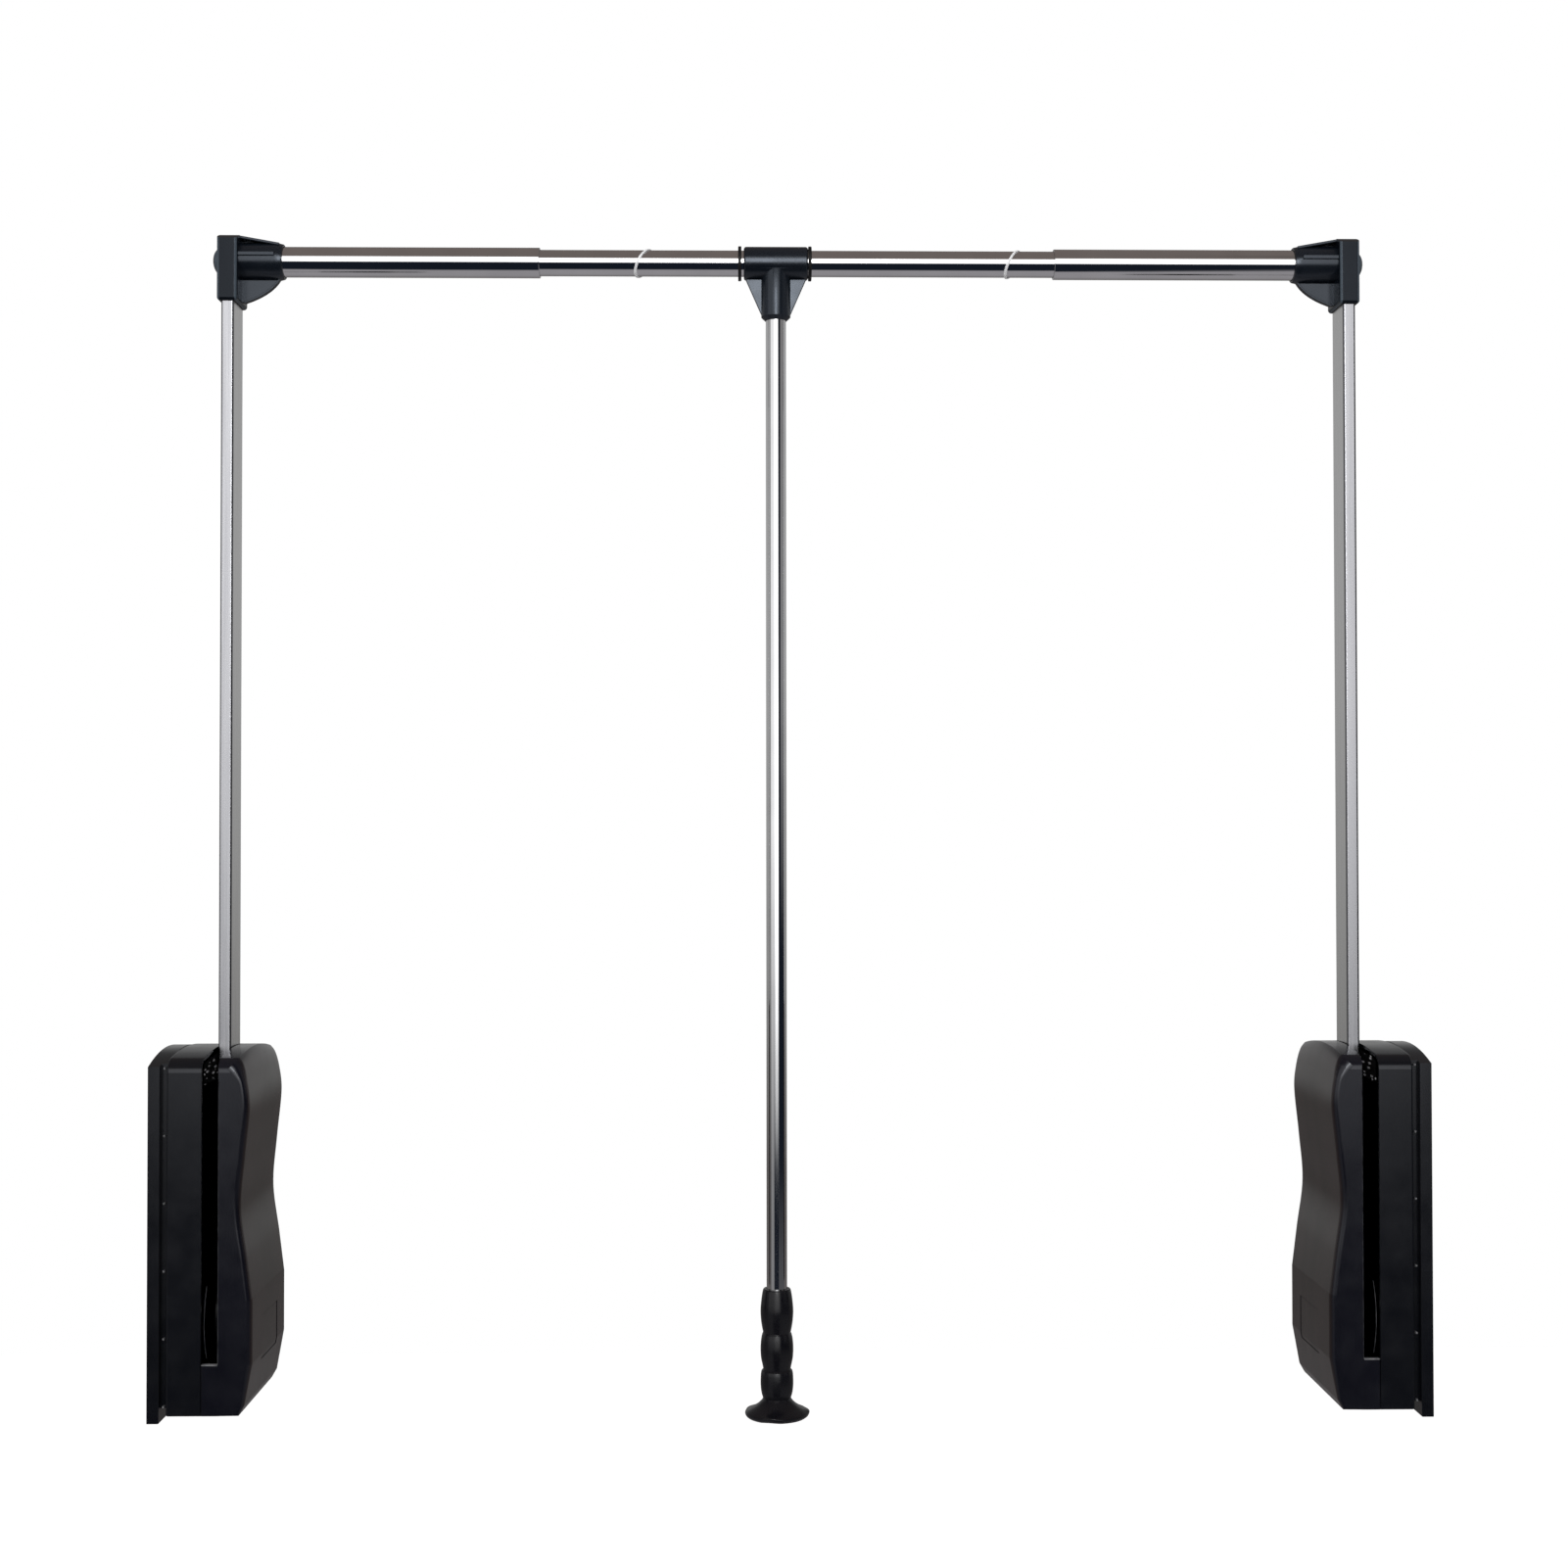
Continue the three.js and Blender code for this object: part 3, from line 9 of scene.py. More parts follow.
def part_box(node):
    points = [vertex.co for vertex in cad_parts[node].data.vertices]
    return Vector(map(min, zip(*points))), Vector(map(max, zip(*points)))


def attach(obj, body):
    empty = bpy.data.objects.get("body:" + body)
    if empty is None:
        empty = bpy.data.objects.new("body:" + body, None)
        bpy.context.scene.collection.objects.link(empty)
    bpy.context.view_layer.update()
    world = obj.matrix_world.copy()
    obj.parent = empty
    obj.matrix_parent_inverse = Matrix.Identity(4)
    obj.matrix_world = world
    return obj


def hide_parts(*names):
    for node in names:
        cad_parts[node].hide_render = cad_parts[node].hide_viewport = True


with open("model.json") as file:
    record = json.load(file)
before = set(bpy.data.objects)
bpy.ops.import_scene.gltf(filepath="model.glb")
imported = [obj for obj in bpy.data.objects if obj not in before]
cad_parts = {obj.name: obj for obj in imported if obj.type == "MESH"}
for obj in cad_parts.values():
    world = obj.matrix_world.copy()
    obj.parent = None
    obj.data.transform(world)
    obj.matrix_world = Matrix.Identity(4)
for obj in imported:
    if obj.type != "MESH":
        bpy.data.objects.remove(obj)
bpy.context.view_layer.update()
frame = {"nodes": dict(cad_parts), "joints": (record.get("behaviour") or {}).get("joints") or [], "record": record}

MM = 0.001

# Sizes read from the frame
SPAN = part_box("right_wall_plate")[1].x
RAIL_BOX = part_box("inner_rail")
RAIL_Z = (RAIL_BOX[0].z + RAIL_BOX[1].z) / 2
SHELL_LOW, SHELL_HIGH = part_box("left_outer_shell")
FRONT, BOTTOM = SHELL_LOW.y, SHELL_LOW.z
REAR, TOP = SHELL_HIGH.y, SHELL_HIGH.z

# Moulded housings
SHELL_WALL = 2.4 * MM
TOP_FILLET = 8.5 * MM
SIDE_FILLET = 4.6 * MM
SMALL_FILLET = 1.2 * MM
HAIR_FILLET = 0.5 * MM
OVERRUN = 2 * MM
FIT = 0.3 * MM
PLATE_THICK = 8.6 * MM
PLATE_CORNER = 9.5 * MM
ARCH_DROP = 5.5 * MM
ARCH_FADE = 40 * MM
ARCH_GAIN = 1.4  # bend per share of the fade, full at 1
GROOVE_DEPTH = 5 * MM
LUG_PITCH = 47.5 * MM
LUG_SIZE = 1.4 * MM
LUG_INSET = 2.2 * MM
LUG_LOWEST = 6 * MM
LUG_COUNT = 6
WALL_SCREW_INSET = 16 * MM
WALL_SCREW_RADIUS = 2.6 * MM
WALL_SCREW_HEAD = 5 * MM
WALL_SCREW_DEPTH = 3 * MM
AXLE_HOLE = 5.3 * MM
LIP = 0.6 * MM

# Side profile of the inner shell: (share of the height, share of the bulge)
TAPER_SHARES = [(0, 0.62), (0.026, 0.78), (0.141, 1), (0.316, 1)]
WAVE_SHARES = [(0.316, 1), (0.434, 0.84), (0.572, 0.65), (0.71, 0.76), (0.848, 0.9), (0.937, 0.82),
               (0.98, 0.7), (1, 0.55)]
WAVE_STEPS = 12
TAPER_UPPER_CORNER = 6 * MM
TAPER_LOWER_CORNER = 3 * MM
LOW_FILLET = SMALL_FILLET * 1.6
LOW_FADE_SHARE = 0.1  # of the height, below which the front edge sharpens
FILLET_RISE_SHARE = 0.93  # of the height, above which the front edge softens
FRONT_STEPS = 10
REAR_STEPS = 3

# Bare recess on the inner shell's side
RECESS_Y = (-23 * MM, 26 * MM)
RECESS_Z = (-30 * MM, 0.5 * MM)
RECESS_DEPTH = 0.3 * MM
RECESS_LINE = 0.5 * MM
RECESS_LINE_DEPTH = 1 * MM
RECESS_REACH = 15 * MM

# Slot, its pale painted highlights, foam and bumper
SLOT_EDGE = 0.7 * MM
SLOT_FOOT_GAP = 0.55 * MM
UPRIGHT_LIMIT = 0.1  # largest vertical part of the normal of an upright face
CHIN_INSET = 0.4 * MM
TRACK_RADIUS = 48 * MM
TRACK_WIRE = 0.35 * MM
TRACK_HALF_ANGLE = radians(32)
TRACK_STEPS = 24
TRACK_FACETS = 8
PAD_STEPS = (46, 16)
PAD_EDGE_STEPS = (3, 2)
PAD_EDGE_SHARE = 0.3  # of the foam's thickness, at its edges
PAD_CROWN_SHARE = 0.45
LUMP_SCALE = 350
LUMP_SHARE = 0.22
BUMPER_CORNER = 1.2 * MM
BUMPER_RIM = 0.9 * MM
BUMPER_GROOVE = 0.7 * MM
BUMPER_GROOVE_SHARES = (0.25, 0.5, 0.75)

# Arms, brackets, rail and handle
ARM_WALL = 1.2 * MM
ARM_CORNER = 1.6 * MM
BRACKET_CORNER = 2.5 * MM
BRACKET_RIM = BRACKET_CORNER * 0.95
SOCKET_RADIUS = 13.8 * MM
SOCKET_SOLID = 8.2 * MM
MOUTH_RADIUS = 12.3 * MM
MOUTH_TAPER = 5 * MM
WEB_THICK = 3 * MM
WEB_CURVE_SHARES = (0.72, 0.75)
WEB_BORDER = 1.3 * MM
WEB_BORDER_PROUD = 0.9 * MM
FLANGE_HALF_DEPTH = 9 * MM
FLANGE_THICK = 2 * MM
BRACKET_CROWN_DROP = 5.5 * MM
RIB_THICK = 3 * MM
RIB_PROUD = 1 * MM
RIB_OFFSET = 2.9 * MM
POCKET_ROOF = 7 * MM
BOLT_RADIUS = 2.5 * MM
BOLT_TIP_GAP = 1 * MM
TUBE_WALL = 1.2 * MM
TUBE_RIM = 0.35 * MM
RING_WIRE = 0.45 * MM
RING_HALF_WIDTH = 1 * MM
RING_GAP = 0.05 * MM
RING_LEAN = radians(25)
RING_YAW = radians(19)
TEE_END = 1.4 * MM
TEE_ROUND_SHARE = 0.35
STEM_RADIUS = 10.8 * MM
STEM_LENGTH = 42.5 * MM
STEM_CHAMFER = 2.8 * MM
STEM_ROUND_SHARES = (0.8, 0.15)
TEE_WEB_REACH = 38 * MM
GRIP_BULGE = 12 * MM
GRIP_WAIST = 9.9 * MM
GRIP_BASE = 24 * MM
GRIP_STEPS = 8
LIP_START_SHARE = 0.8  # of the base's radius, where its lip starts to wave
LIP_TOP_SHARE = 0.08  # of the grip's length
LIP_WAVES = ((3, 0.6, 0.6), (7, 1.9, 0.4))  # count, phase and share
LIP_LIFT = 0.9 * MM
LIP_DRAW = 0.35 * MM

# Arm's foot
HUB_RADIUS = 22 * MM
FOOT_RIM = 0.6 * MM
FOOT_BORE = 7.3 * MM
NECK_START = 9 * MM
BARREL_RADIUS = 12 * MM
BARREL_FLAT = 9.6 * MM
FLAT_REACH = 14 * MM
PIN_HOLE = 2.3 * MM
PIN_HEIGHT = 24 * MM

# Steps of curves
ROUND = 96
SMALL_ROUND = 48
PIN_ROUND = 32
GROOVE_ROUND = 24
WIRE_ROUND = 16
ARC_STEPS = 6
END_STEPS = 4
ARCH_CUTS = 16
CURVE_STEPS = 24
DOME_STEPS = 12
MITRE_LIMIT = 0.3
WELD = 1e-7


# Outlines in a plane
def arc_outline(corners, steps=ARC_STEPS):
    """Closed outline from (u, v, radius) corners, each radius turned into an arc."""
    result = []
    for i, (u, v, radius) in enumerate(corners):
        here = Vector((u, v))
        if radius == 0:
            result.append((u, v))
            continue
        before = (Vector(corners[i - 1][:2]) - here).normalized()
        after = (Vector(corners[(i + 1) % len(corners)][:2]) - here).normalized()
        half = before.angle(after) / 2
        centre = here + (before + after).normalized() * (radius / sin(half))
        start = here + before * (radius / tan(half)) - centre
        end = here + after * (radius / tan(half)) - centre
        turn = start.angle_signed(end)
        for step in range(steps + 1):
            spoke = start.copy()
            spoke.rotate(Matrix.Rotation(-turn * step / steps, 2))
            result.append(tuple(centre + spoke))
    return result


def rectangle(u0, u1, v0, v1, radius=0.0):
    return arc_outline([(u0, v0, radius), (u1, v0, radius), (u1, v1, radius), (u0, v1, radius)])


def quarter(steps):
    """(sine, cosine) pairs along a quarter turn."""
    turns = [pi / 2 * step / steps for step in range(steps + 1)]
    return [(sin(turn), cos(turn)) for turn in turns]


def bow(start, bend, end, steps):
    """Points along the curve from start to end, drawn towards the bend."""
    result = []
    for step in range(steps + 1):
        t = step / steps
        shares = ((1 - t) ** 2, 2 * (1 - t) * t, t ** 2)
        result.append(tuple(
            shares[0] * a + shares[1] * b + shares[2] * c for a, b, c in zip(start, bend, end)))
    return result


def signed_area(points):
    return sum(a[0] * b[1] - b[0] * a[1] for a, b in zip(points, points[1:] + points[:1])) / 2


def inset_outline(points, insets):
    """The outline moved inwards at each point by its own inset, along the mitred normal."""
    count = len(points)
    result = []
    for i, (u, v) in enumerate(points):
        before = Vector((u, v)) - Vector(points[i - 1])
        after = Vector(points[(i + 1) % count]) - Vector((u, v))
        a = Vector((-before.y, before.x)).normalized()
        b = Vector((-after.y, after.x)).normalized()
        mitre = (a + b) / max(1 + a.dot(b), MITRE_LIMIT)
        result.append((u + mitre.x * insets[i], v + mitre.y * insets[i]))
    return result


def spline(points, steps):
    """Smooth curve through the points, with the same number of steps in each span."""
    result = []
    last = len(points) - 1
    for i in range(last):
        p = [Vector(points[max(min(j, last), 0)]) for j in (i - 1, i, i + 1, i + 2)]
        for step in range(steps):
            t = step / steps
            along = ((p[1] * 2) + (p[2] - p[0]) * t + (p[0] * 2 - p[1] * 5 + p[2] * 4 - p[3]) * t ** 2
                     + (p[1] * 3 - p[0] - p[2] * 3 + p[3]) * t ** 3) / 2
            result.append(tuple(along))
    result.append(tuple(points[-1]))
    return result


# Closed meshes
def new_object(name, points, faces):
    mesh = bpy.data.meshes.new(name)
    shape = bmesh.new()
    corners = [shape.verts.new(point) for point in points]
    for face in faces:
        shape.faces.new([corners[i] for i in face])
    bmesh.ops.remove_doubles(shape, verts=shape.verts, dist=WELD)
    bmesh.ops.recalc_face_normals(shape, faces=shape.faces)
    shape.to_mesh(mesh)
    shape.free()
    obj = bpy.data.objects.new(name, mesh)
    bpy.context.scene.collection.objects.link(obj)
    return obj


def skin(name, rings, capped=True):
    """Closed body through rings of equal counts of points; without caps the last ring meets the first."""
    count = len(rings[0])
    points = [point for ring in rings for point in ring]
    faces = []
    spans = len(rings) - 1 if capped else len(rings)
    for r in range(spans):
        here, there = r * count, ((r + 1) % len(rings)) * count
        for i in range(count):
            j = (i + 1) % count
            faces.append((here + i, here + j, there + j, there + i))
    if capped:
        faces.append(tuple(reversed(range(count))))
        faces.append(tuple(range((len(rings) - 1) * count, len(rings) * count)))
    return new_object(name, points, faces)


def turned(name, profile, axis, centre, facets=ROUND, wave=None):
    """Turned body from (place along the axis, radius) points, from end to end or as a closed loop."""
    points = []
    for k in range(facets):
        angle = 2 * pi * k / facets
        for along, radius in profile:
            if wave:
                along, radius = wave(along, radius, angle)
            u, v = radius * cos(angle), radius * sin(angle)
            if axis == "X":
                points.append((along, centre[0] + u, centre[1] + v))
            else:
                points.append((centre[0] + u, centre[1] + v, along))
    count = len(profile)
    closed = profile[0][1] > 0
    faces = []
    for k in range(facets):
        here, there = k * count, ((k + 1) % facets) * count
        for i in range(count if closed else count - 1):
            j = (i + 1) % count
            face = [here + i, here + j, there + j, there + i]
            if profile[i][1] == 0:
                face.remove(there + i)
            if profile[j][1] == 0:
                face.remove(there + j)
            if len(face) > 2:
                faces.append(face)
    return new_object(name, points, faces)


def prism(name, outline, axis, start, end, rim=0.0, steps=3):
    """Prism of a plane outline along an axis, with rounded rims."""
    outline = list(outline) if signed_area(outline) > 0 else list(reversed(outline))
    levels = [(rim * (1 - run), rim * (1 - rise)) for rise, run in quarter(steps)] if rim else [(0, 0)]
    places = [(start + depth, inset) for depth, inset in levels]
    places += [(end - depth, inset) for depth, inset in reversed(levels)]
    rings = [(along, inset_outline(outline, [inset] * len(outline))) for along, inset in places]
    place = {
        "X": lambda a, u, v: (a, u, v),
        "Y": lambda a, u, v: (u, a, v),
        "Z": lambda a, u, v: (u, v, a),
    }[axis]
    return skin(name, [[place(a, u, v) for u, v in ring] for a, ring in rings])


def block(name, x, y, z, rim=0.0):
    return prism(name, rectangle(*x, *z), "Y", *y, rim)


def rod(name, radius, start, end, axis, centre, facets=ROUND):
    return turned(name, [(start, 0), (start, radius), (end, radius), (end, 0)], axis, centre, facets)


def tube_profile(radius, bore, start, end, rim):
    """Loop of a tube's section with rounded end rims."""
    corners = [(start, bore, 0), (start, radius, rim), (end, radius, rim), (end, bore, 0)]
    return arc_outline(corners, END_STEPS)


def carve(body, operation, *tools):
    for tool in tools:
        modifier = body.modifiers.new("carve", "BOOLEAN")
        modifier.operation = operation
        modifier.solver = "MANIFOLD"
        modifier.object = tool
        bpy.context.view_layer.update()
        shaped = bpy.data.meshes.new_from_object(
            body.evaluated_get(bpy.context.evaluated_depsgraph_get()))
        body.modifiers.clear()
        old = body.data
        body.data = shaped
        bpy.data.meshes.remove(old)
        bpy.data.objects.remove(tool)
    return body


def join(body, *tools):
    return carve(body, "UNION", *tools)


def cut(body, *tools):
    return carve(body, "DIFFERENCE", *tools)


# The two sides: built as the left one, and mirrored for the right one
def side_box(prefix, name):
    low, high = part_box(f"{prefix}_{name}")
    if prefix == "right":
        low.x, high.x = SPAN - high.x, SPAN - low.x
    return low, high


def mirrored(obj, prefix):
    if prefix == "right":
        shape = bmesh.new()
        shape.from_mesh(obj.data)
        for vert in shape.verts:
            vert.co.x = SPAN - vert.co.x
        bmesh.ops.reverse_faces(shape, faces=shape.faces)
        shape.to_mesh(obj.data)
        shape.free()
    return obj


BODY_OF = {
    node: body
    for body, nodes in frame["record"]["behaviour"]["bodies"].items()
    for node in nodes
}
SLOT_OF = {part["node"]: part["material_slot"] for part in frame["record"]["subparts"]}


def piece(obj, node, sharp=32, material=None):
    """Dresses a smooth body as the CAD node that it stands for."""
    obj.name = f"{node}_skin"
    obj.data.name = obj.name
    obj.data.shade_smooth()
    obj.data.set_sharp_from_angle(angle=radians(sharp))
    obj.data.materials.clear()
    obj.data.materials.append(material or MATERIALS[SLOT_OF[node]])
    even = obj.modifiers.new("even", "WEIGHTED_NORMAL")
    even.keep_sharp = True
    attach(obj, BODY_OF[node])
    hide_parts(node)


def side_piece(obj, prefix, name, sharp=32):
    piece(mirrored(obj, prefix), f"{prefix}_{name}", sharp)


def side_detail(obj, prefix, name, material):
    """Dresses a small body that rides with a CAD node and replaces none."""
    mirrored(obj, prefix)
    obj.data.materials.append(material)
    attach(obj, BODY_OF[f"{prefix}_{name}"])


# Materials
class NodeTree:
    """Short calls for the nodes of a material or of the world."""

    def __init__(self, tree):
        self.nodes = tree.nodes
        self.links = tree.links

    def feed(self, sockets, values):
        """Gives each socket its number or colour, or links it to its source."""
        for socket, value in zip(sockets, values):
            if isinstance(value, (int, float)):
                socket.default_value = value
            elif isinstance(value, tuple):
                socket.default_value = (*value, 1)
            else:
                self.links.new(value, socket)

    def parts(self, coordinate):
        """X, Y and Z of a texture coordinate."""
        node = self.nodes.new("ShaderNodeSeparateXYZ")
        self.links.new(self.nodes.new("ShaderNodeTexCoord").outputs[coordinate], node.inputs[0])
        return node.outputs

    def camera_ray(self):
        return self.nodes.new("ShaderNodeLightPath").outputs["Is Camera Ray"]

    def math(self, operation, *values):
        node = self.nodes.new("ShaderNodeMath")
        node.operation = operation
        self.feed(node.inputs, values)
        return node.outputs[0]

    def ramp(self, factor, *stops):
        """Colours or greys along the factor, as (place, colour) stops."""
        node = self.nodes.new("ShaderNodeValToRGB")
        elements = node.color_ramp.elements
        while len(elements) < len(stops):
            elements.new(1.0)
        for element, (place, colour) in zip(elements, stops):
            element.position = place
            grey = isinstance(colour, (int, float))
            element.color = (colour, colour, colour, 1) if grey else (*colour, 1)
        self.links.new(factor, node.inputs["Fac"])
        return node.outputs["Color"]

    def mix(self, factor, a, b, blend="MIX"):
        node = self.nodes.new("ShaderNodeMix")
        node.data_type = "RGBA"
        node.blend_type = blend
        self.feed([s for s in node.inputs if s.enabled], (factor, a, b))
        return next(s for s in node.outputs if s.enabled)


class Finish(NodeTree):
    """One procedural material."""

    def __init__(self, name, metallic=0.0, specular=0.5, tint=(1, 1, 1)):
        self.material = bpy.data.materials.new(name)
        self.material.use_nodes = True
        super().__init__(self.material.node_tree)
        self.shader = self.nodes["Principled BSDF"]
        self.shader.inputs["Metallic"].default_value = metallic
        self.shader.inputs["Specular IOR Level"].default_value = specular
        self.shader.inputs["Specular Tint"].default_value = (*tint, 1)
        self.place = self.nodes.new("ShaderNodeTexCoord").outputs["Object"]

    def texture(self, kind, scale, stretch):
        """Texture over the stretched places of the object."""
        mapping = self.nodes.new("ShaderNodeMapping")
        mapping.inputs["Scale"].default_value = stretch
        self.links.new(self.place, mapping.inputs["Vector"])
        node = self.nodes.new(kind)
        node.inputs["Scale"].default_value = scale
        self.links.new(mapping.outputs["Vector"], node.inputs["Vector"])
        return node

    def noise(self, scale, detail, stretch=(1, 1, 1)):
        node = self.texture("ShaderNodeTexNoise", scale, stretch)
        node.inputs["Detail"].default_value = detail
        return node.outputs["Fac"]

    def sideways(self, *stops):
        """Ramp over how far the surface faces along X: 0 forwards or up, 1 sideways."""
        return self.ramp(self.math("ABSOLUTE", self.parts("Normal")["X"]), *stops)

    def colour(self, value):
        self.links.new(value, self.shader.inputs["Base Color"])

    def roughness(self, value):
        self.links.new(value, self.shader.inputs["Roughness"])

    def bump(self, height, distance, strength, after=None):
        node = self.nodes.new("ShaderNodeBump")
        node.inputs["Strength"].default_value = strength
        node.inputs["Distance"].default_value = distance
        self.links.new(height, node.inputs["Height"])
        if after is not None:
            self.links.new(after, node.inputs["Normal"])
        self.links.new(node.outputs["Normal"], self.shader.inputs["Normal"])
        return node.outputs["Normal"]


def plain_finish(name, dark, light, clouds, wear, gloss, grain, depth, strength, spread=0.3, **options):
    """Cloudy colour, uneven gloss and fine grain; clouds, wear and grain are (scale, detail) of a noise."""
    finish = Finish(name, **options)
    finish.colour(finish.ramp(finish.noise(*clouds), (spread, dark), (1 - spread, light)))
    finish.roughness(finish.ramp(finish.noise(*wear), (0.3, gloss[0]), (0.7, gloss[1])))
    finish.bump(finish.noise(*grain), depth, strength)
    return finish.material


def moulded_plastic(
        name, dark, light, gloss, specular, grain=0.02, side_reflection_bands=None, edges=None, tint=(1, 1, 1)):
    """Moulded plastic: fine spark-eroded grain, faint flow marks and cloudy gloss, with optional painted light:
    warm painted reflection bands on the sideways faces, and a paler painted highlight on the edge fillets.
    """
    finish = Finish(name, specular=specular, tint=tint)
    cloud = finish.ramp(finish.noise(18, 4), (0.3, dark), (0.7, light))
    if side_reflection_bands:
        # Painted reflection: warm vertical bands, paler than the base, painted on the sideways faces.
        across = finish.ramp(finish.noise(34, 1, stretch=(1, 1, 0.04)), (0.38, side_reflection_bands[0]), (0.62, side_reflection_bands[1]))
        cloud = finish.mix(finish.sideways((0.6, 0.0), (0.95, 1.0)), cloud, across)
    if edges:
        # Painted highlight: a paler colour on faces turned partly sideways, the edge fillets.
        painted_highlight = finish.sideways((0.12, 0.0), (0.3, 1.0), (0.7, 1.0), (0.9, 0.0))
        cloud = finish.mix(painted_highlight, cloud, edges)
    finish.colour(cloud)
    finish.roughness(finish.ramp(finish.noise(60, 5), (0.3, gloss - 0.03), (0.7, gloss + 0.05)))
    sink = finish.bump(finish.noise(25, 2), 0.12 * MM, 0.25)
    finish.bump(finish.noise(2600, 2), grain * MM, 0.5, after=sink)
    return finish.material


def plated(name, dark, light, gloss, along):
    """Chrome plate on drawn tube: faint lengthwise polishing marks and small soft ripples."""
    finish = Finish(name, metallic=1.0)
    finish.colour(finish.ramp(finish.noise(40, 3), (0.3, dark), (0.7, light)))
    marks = finish.noise(700, 2, stretch=along)
    finish.roughness(finish.ramp(marks, (0.35, gloss), (0.7, gloss + 0.03)))
    ripple = finish.bump(finish.noise(9, 1), 0.1 * MM, 0.12)
    finish.bump(marks, 0.001 * MM, 0.25, after=ripple)
    return finish.material


def satin_aluminium():
    """Drawn aluminium: fine lengthwise streaks over slow patches, with painted light: the flat sides painted much
    paler, and a dark painted reflection line along the round corners.
    """
    finish = Finish("aluminium_satin", metallic=1.0)
    streaks = finish.noise(900, 3, stretch=(1, 1, 0.012))
    patches = finish.noise(9, 4, stretch=(1, 1, 0.4))
    base = finish.ramp(patches, (0.3, (0.35, 0.35, 0.38)), (0.7, (0.41, 0.41, 0.44)))
    base = finish.mix(0.4, base, finish.ramp(streaks, (0.35, 0.28), (0.65, 0.5)))
    # Painted light: faces turned fully sideways get a much paler colour.
    side = finish.ramp(streaks, (0.3, 0.68), (0.7, 0.84))
    base = finish.mix(finish.sideways((0.985, 0.0), (0.998, 1.0)), base, side)
    # Painted reflection: a dark line painted on the round corners between front and side.
    corner = finish.sideways((0.4, 0.0), (0.6, 1.0), (0.93, 1.0), (0.985, 0.0))
    finish.colour(finish.mix(corner, base, (0.13, 0.13, 0.14)))
    finish.roughness(finish.ramp(streaks, (0.3, 0.22), (0.7, 0.32)))
    finish.bump(streaks, 0.006 * MM, 0.5)
    return finish.material


def soft_rubber(name, dark, light, gloss, specular):
    finish = Finish(name, specular=specular)
    finish.colour(finish.ramp(finish.noise(45, 5), (0.3, dark), (0.7, light)))
    finish.roughness(finish.ramp(finish.noise(180, 5), (0.3, gloss - 0.06), (0.7, gloss + 0.08)))
    bloom = finish.bump(finish.noise(160, 3), 0.06 * MM, 0.3)
    finish.bump(finish.noise(2200, 2), 0.02 * MM, 0.5, after=bloom)
    return finish.material


def open_foam():
    """Open-cell foam: black skin with pale torn cell walls."""
    finish = Finish("foam_open_cell", specular=0.15)
    cells = finish.texture("ShaderNodeTexVoronoi", 330, (1, 0.25, 1)).outputs["Distance"]
    patches = finish.ramp(finish.noise(170, 2, stretch=(1, 0.3, 1)), (0.42, 0.0), (0.47, 1.0))
    flecks = finish.ramp(cells, (0.24, 1.0), (0.34, 0.0))
    shown = finish.mix(1.0, patches, flecks, "MULTIPLY")
    finish.colour(finish.mix(shown, (0.0015, 0.0015, 0.002), (0.8, 0.8, 0.82)))
    finish.roughness(finish.ramp(cells, (0.1, 0.8), (0.6, 1.0)))
    finish.bump(cells, 0.5 * MM, 0.9)
    return finish.material


def painted_highlight(name, dark, light):
    """Paler plastic or paint for a painted highlight on a thin edge or arc."""
    return plain_finish(
        name, dark, light, clouds=(120, 4), wear=(700, 2), gloss=(0.3, 0.5), grain=(1200, 3),
        depth=0.01 * MM, strength=0.5, spread=0.35, specular=0.4)


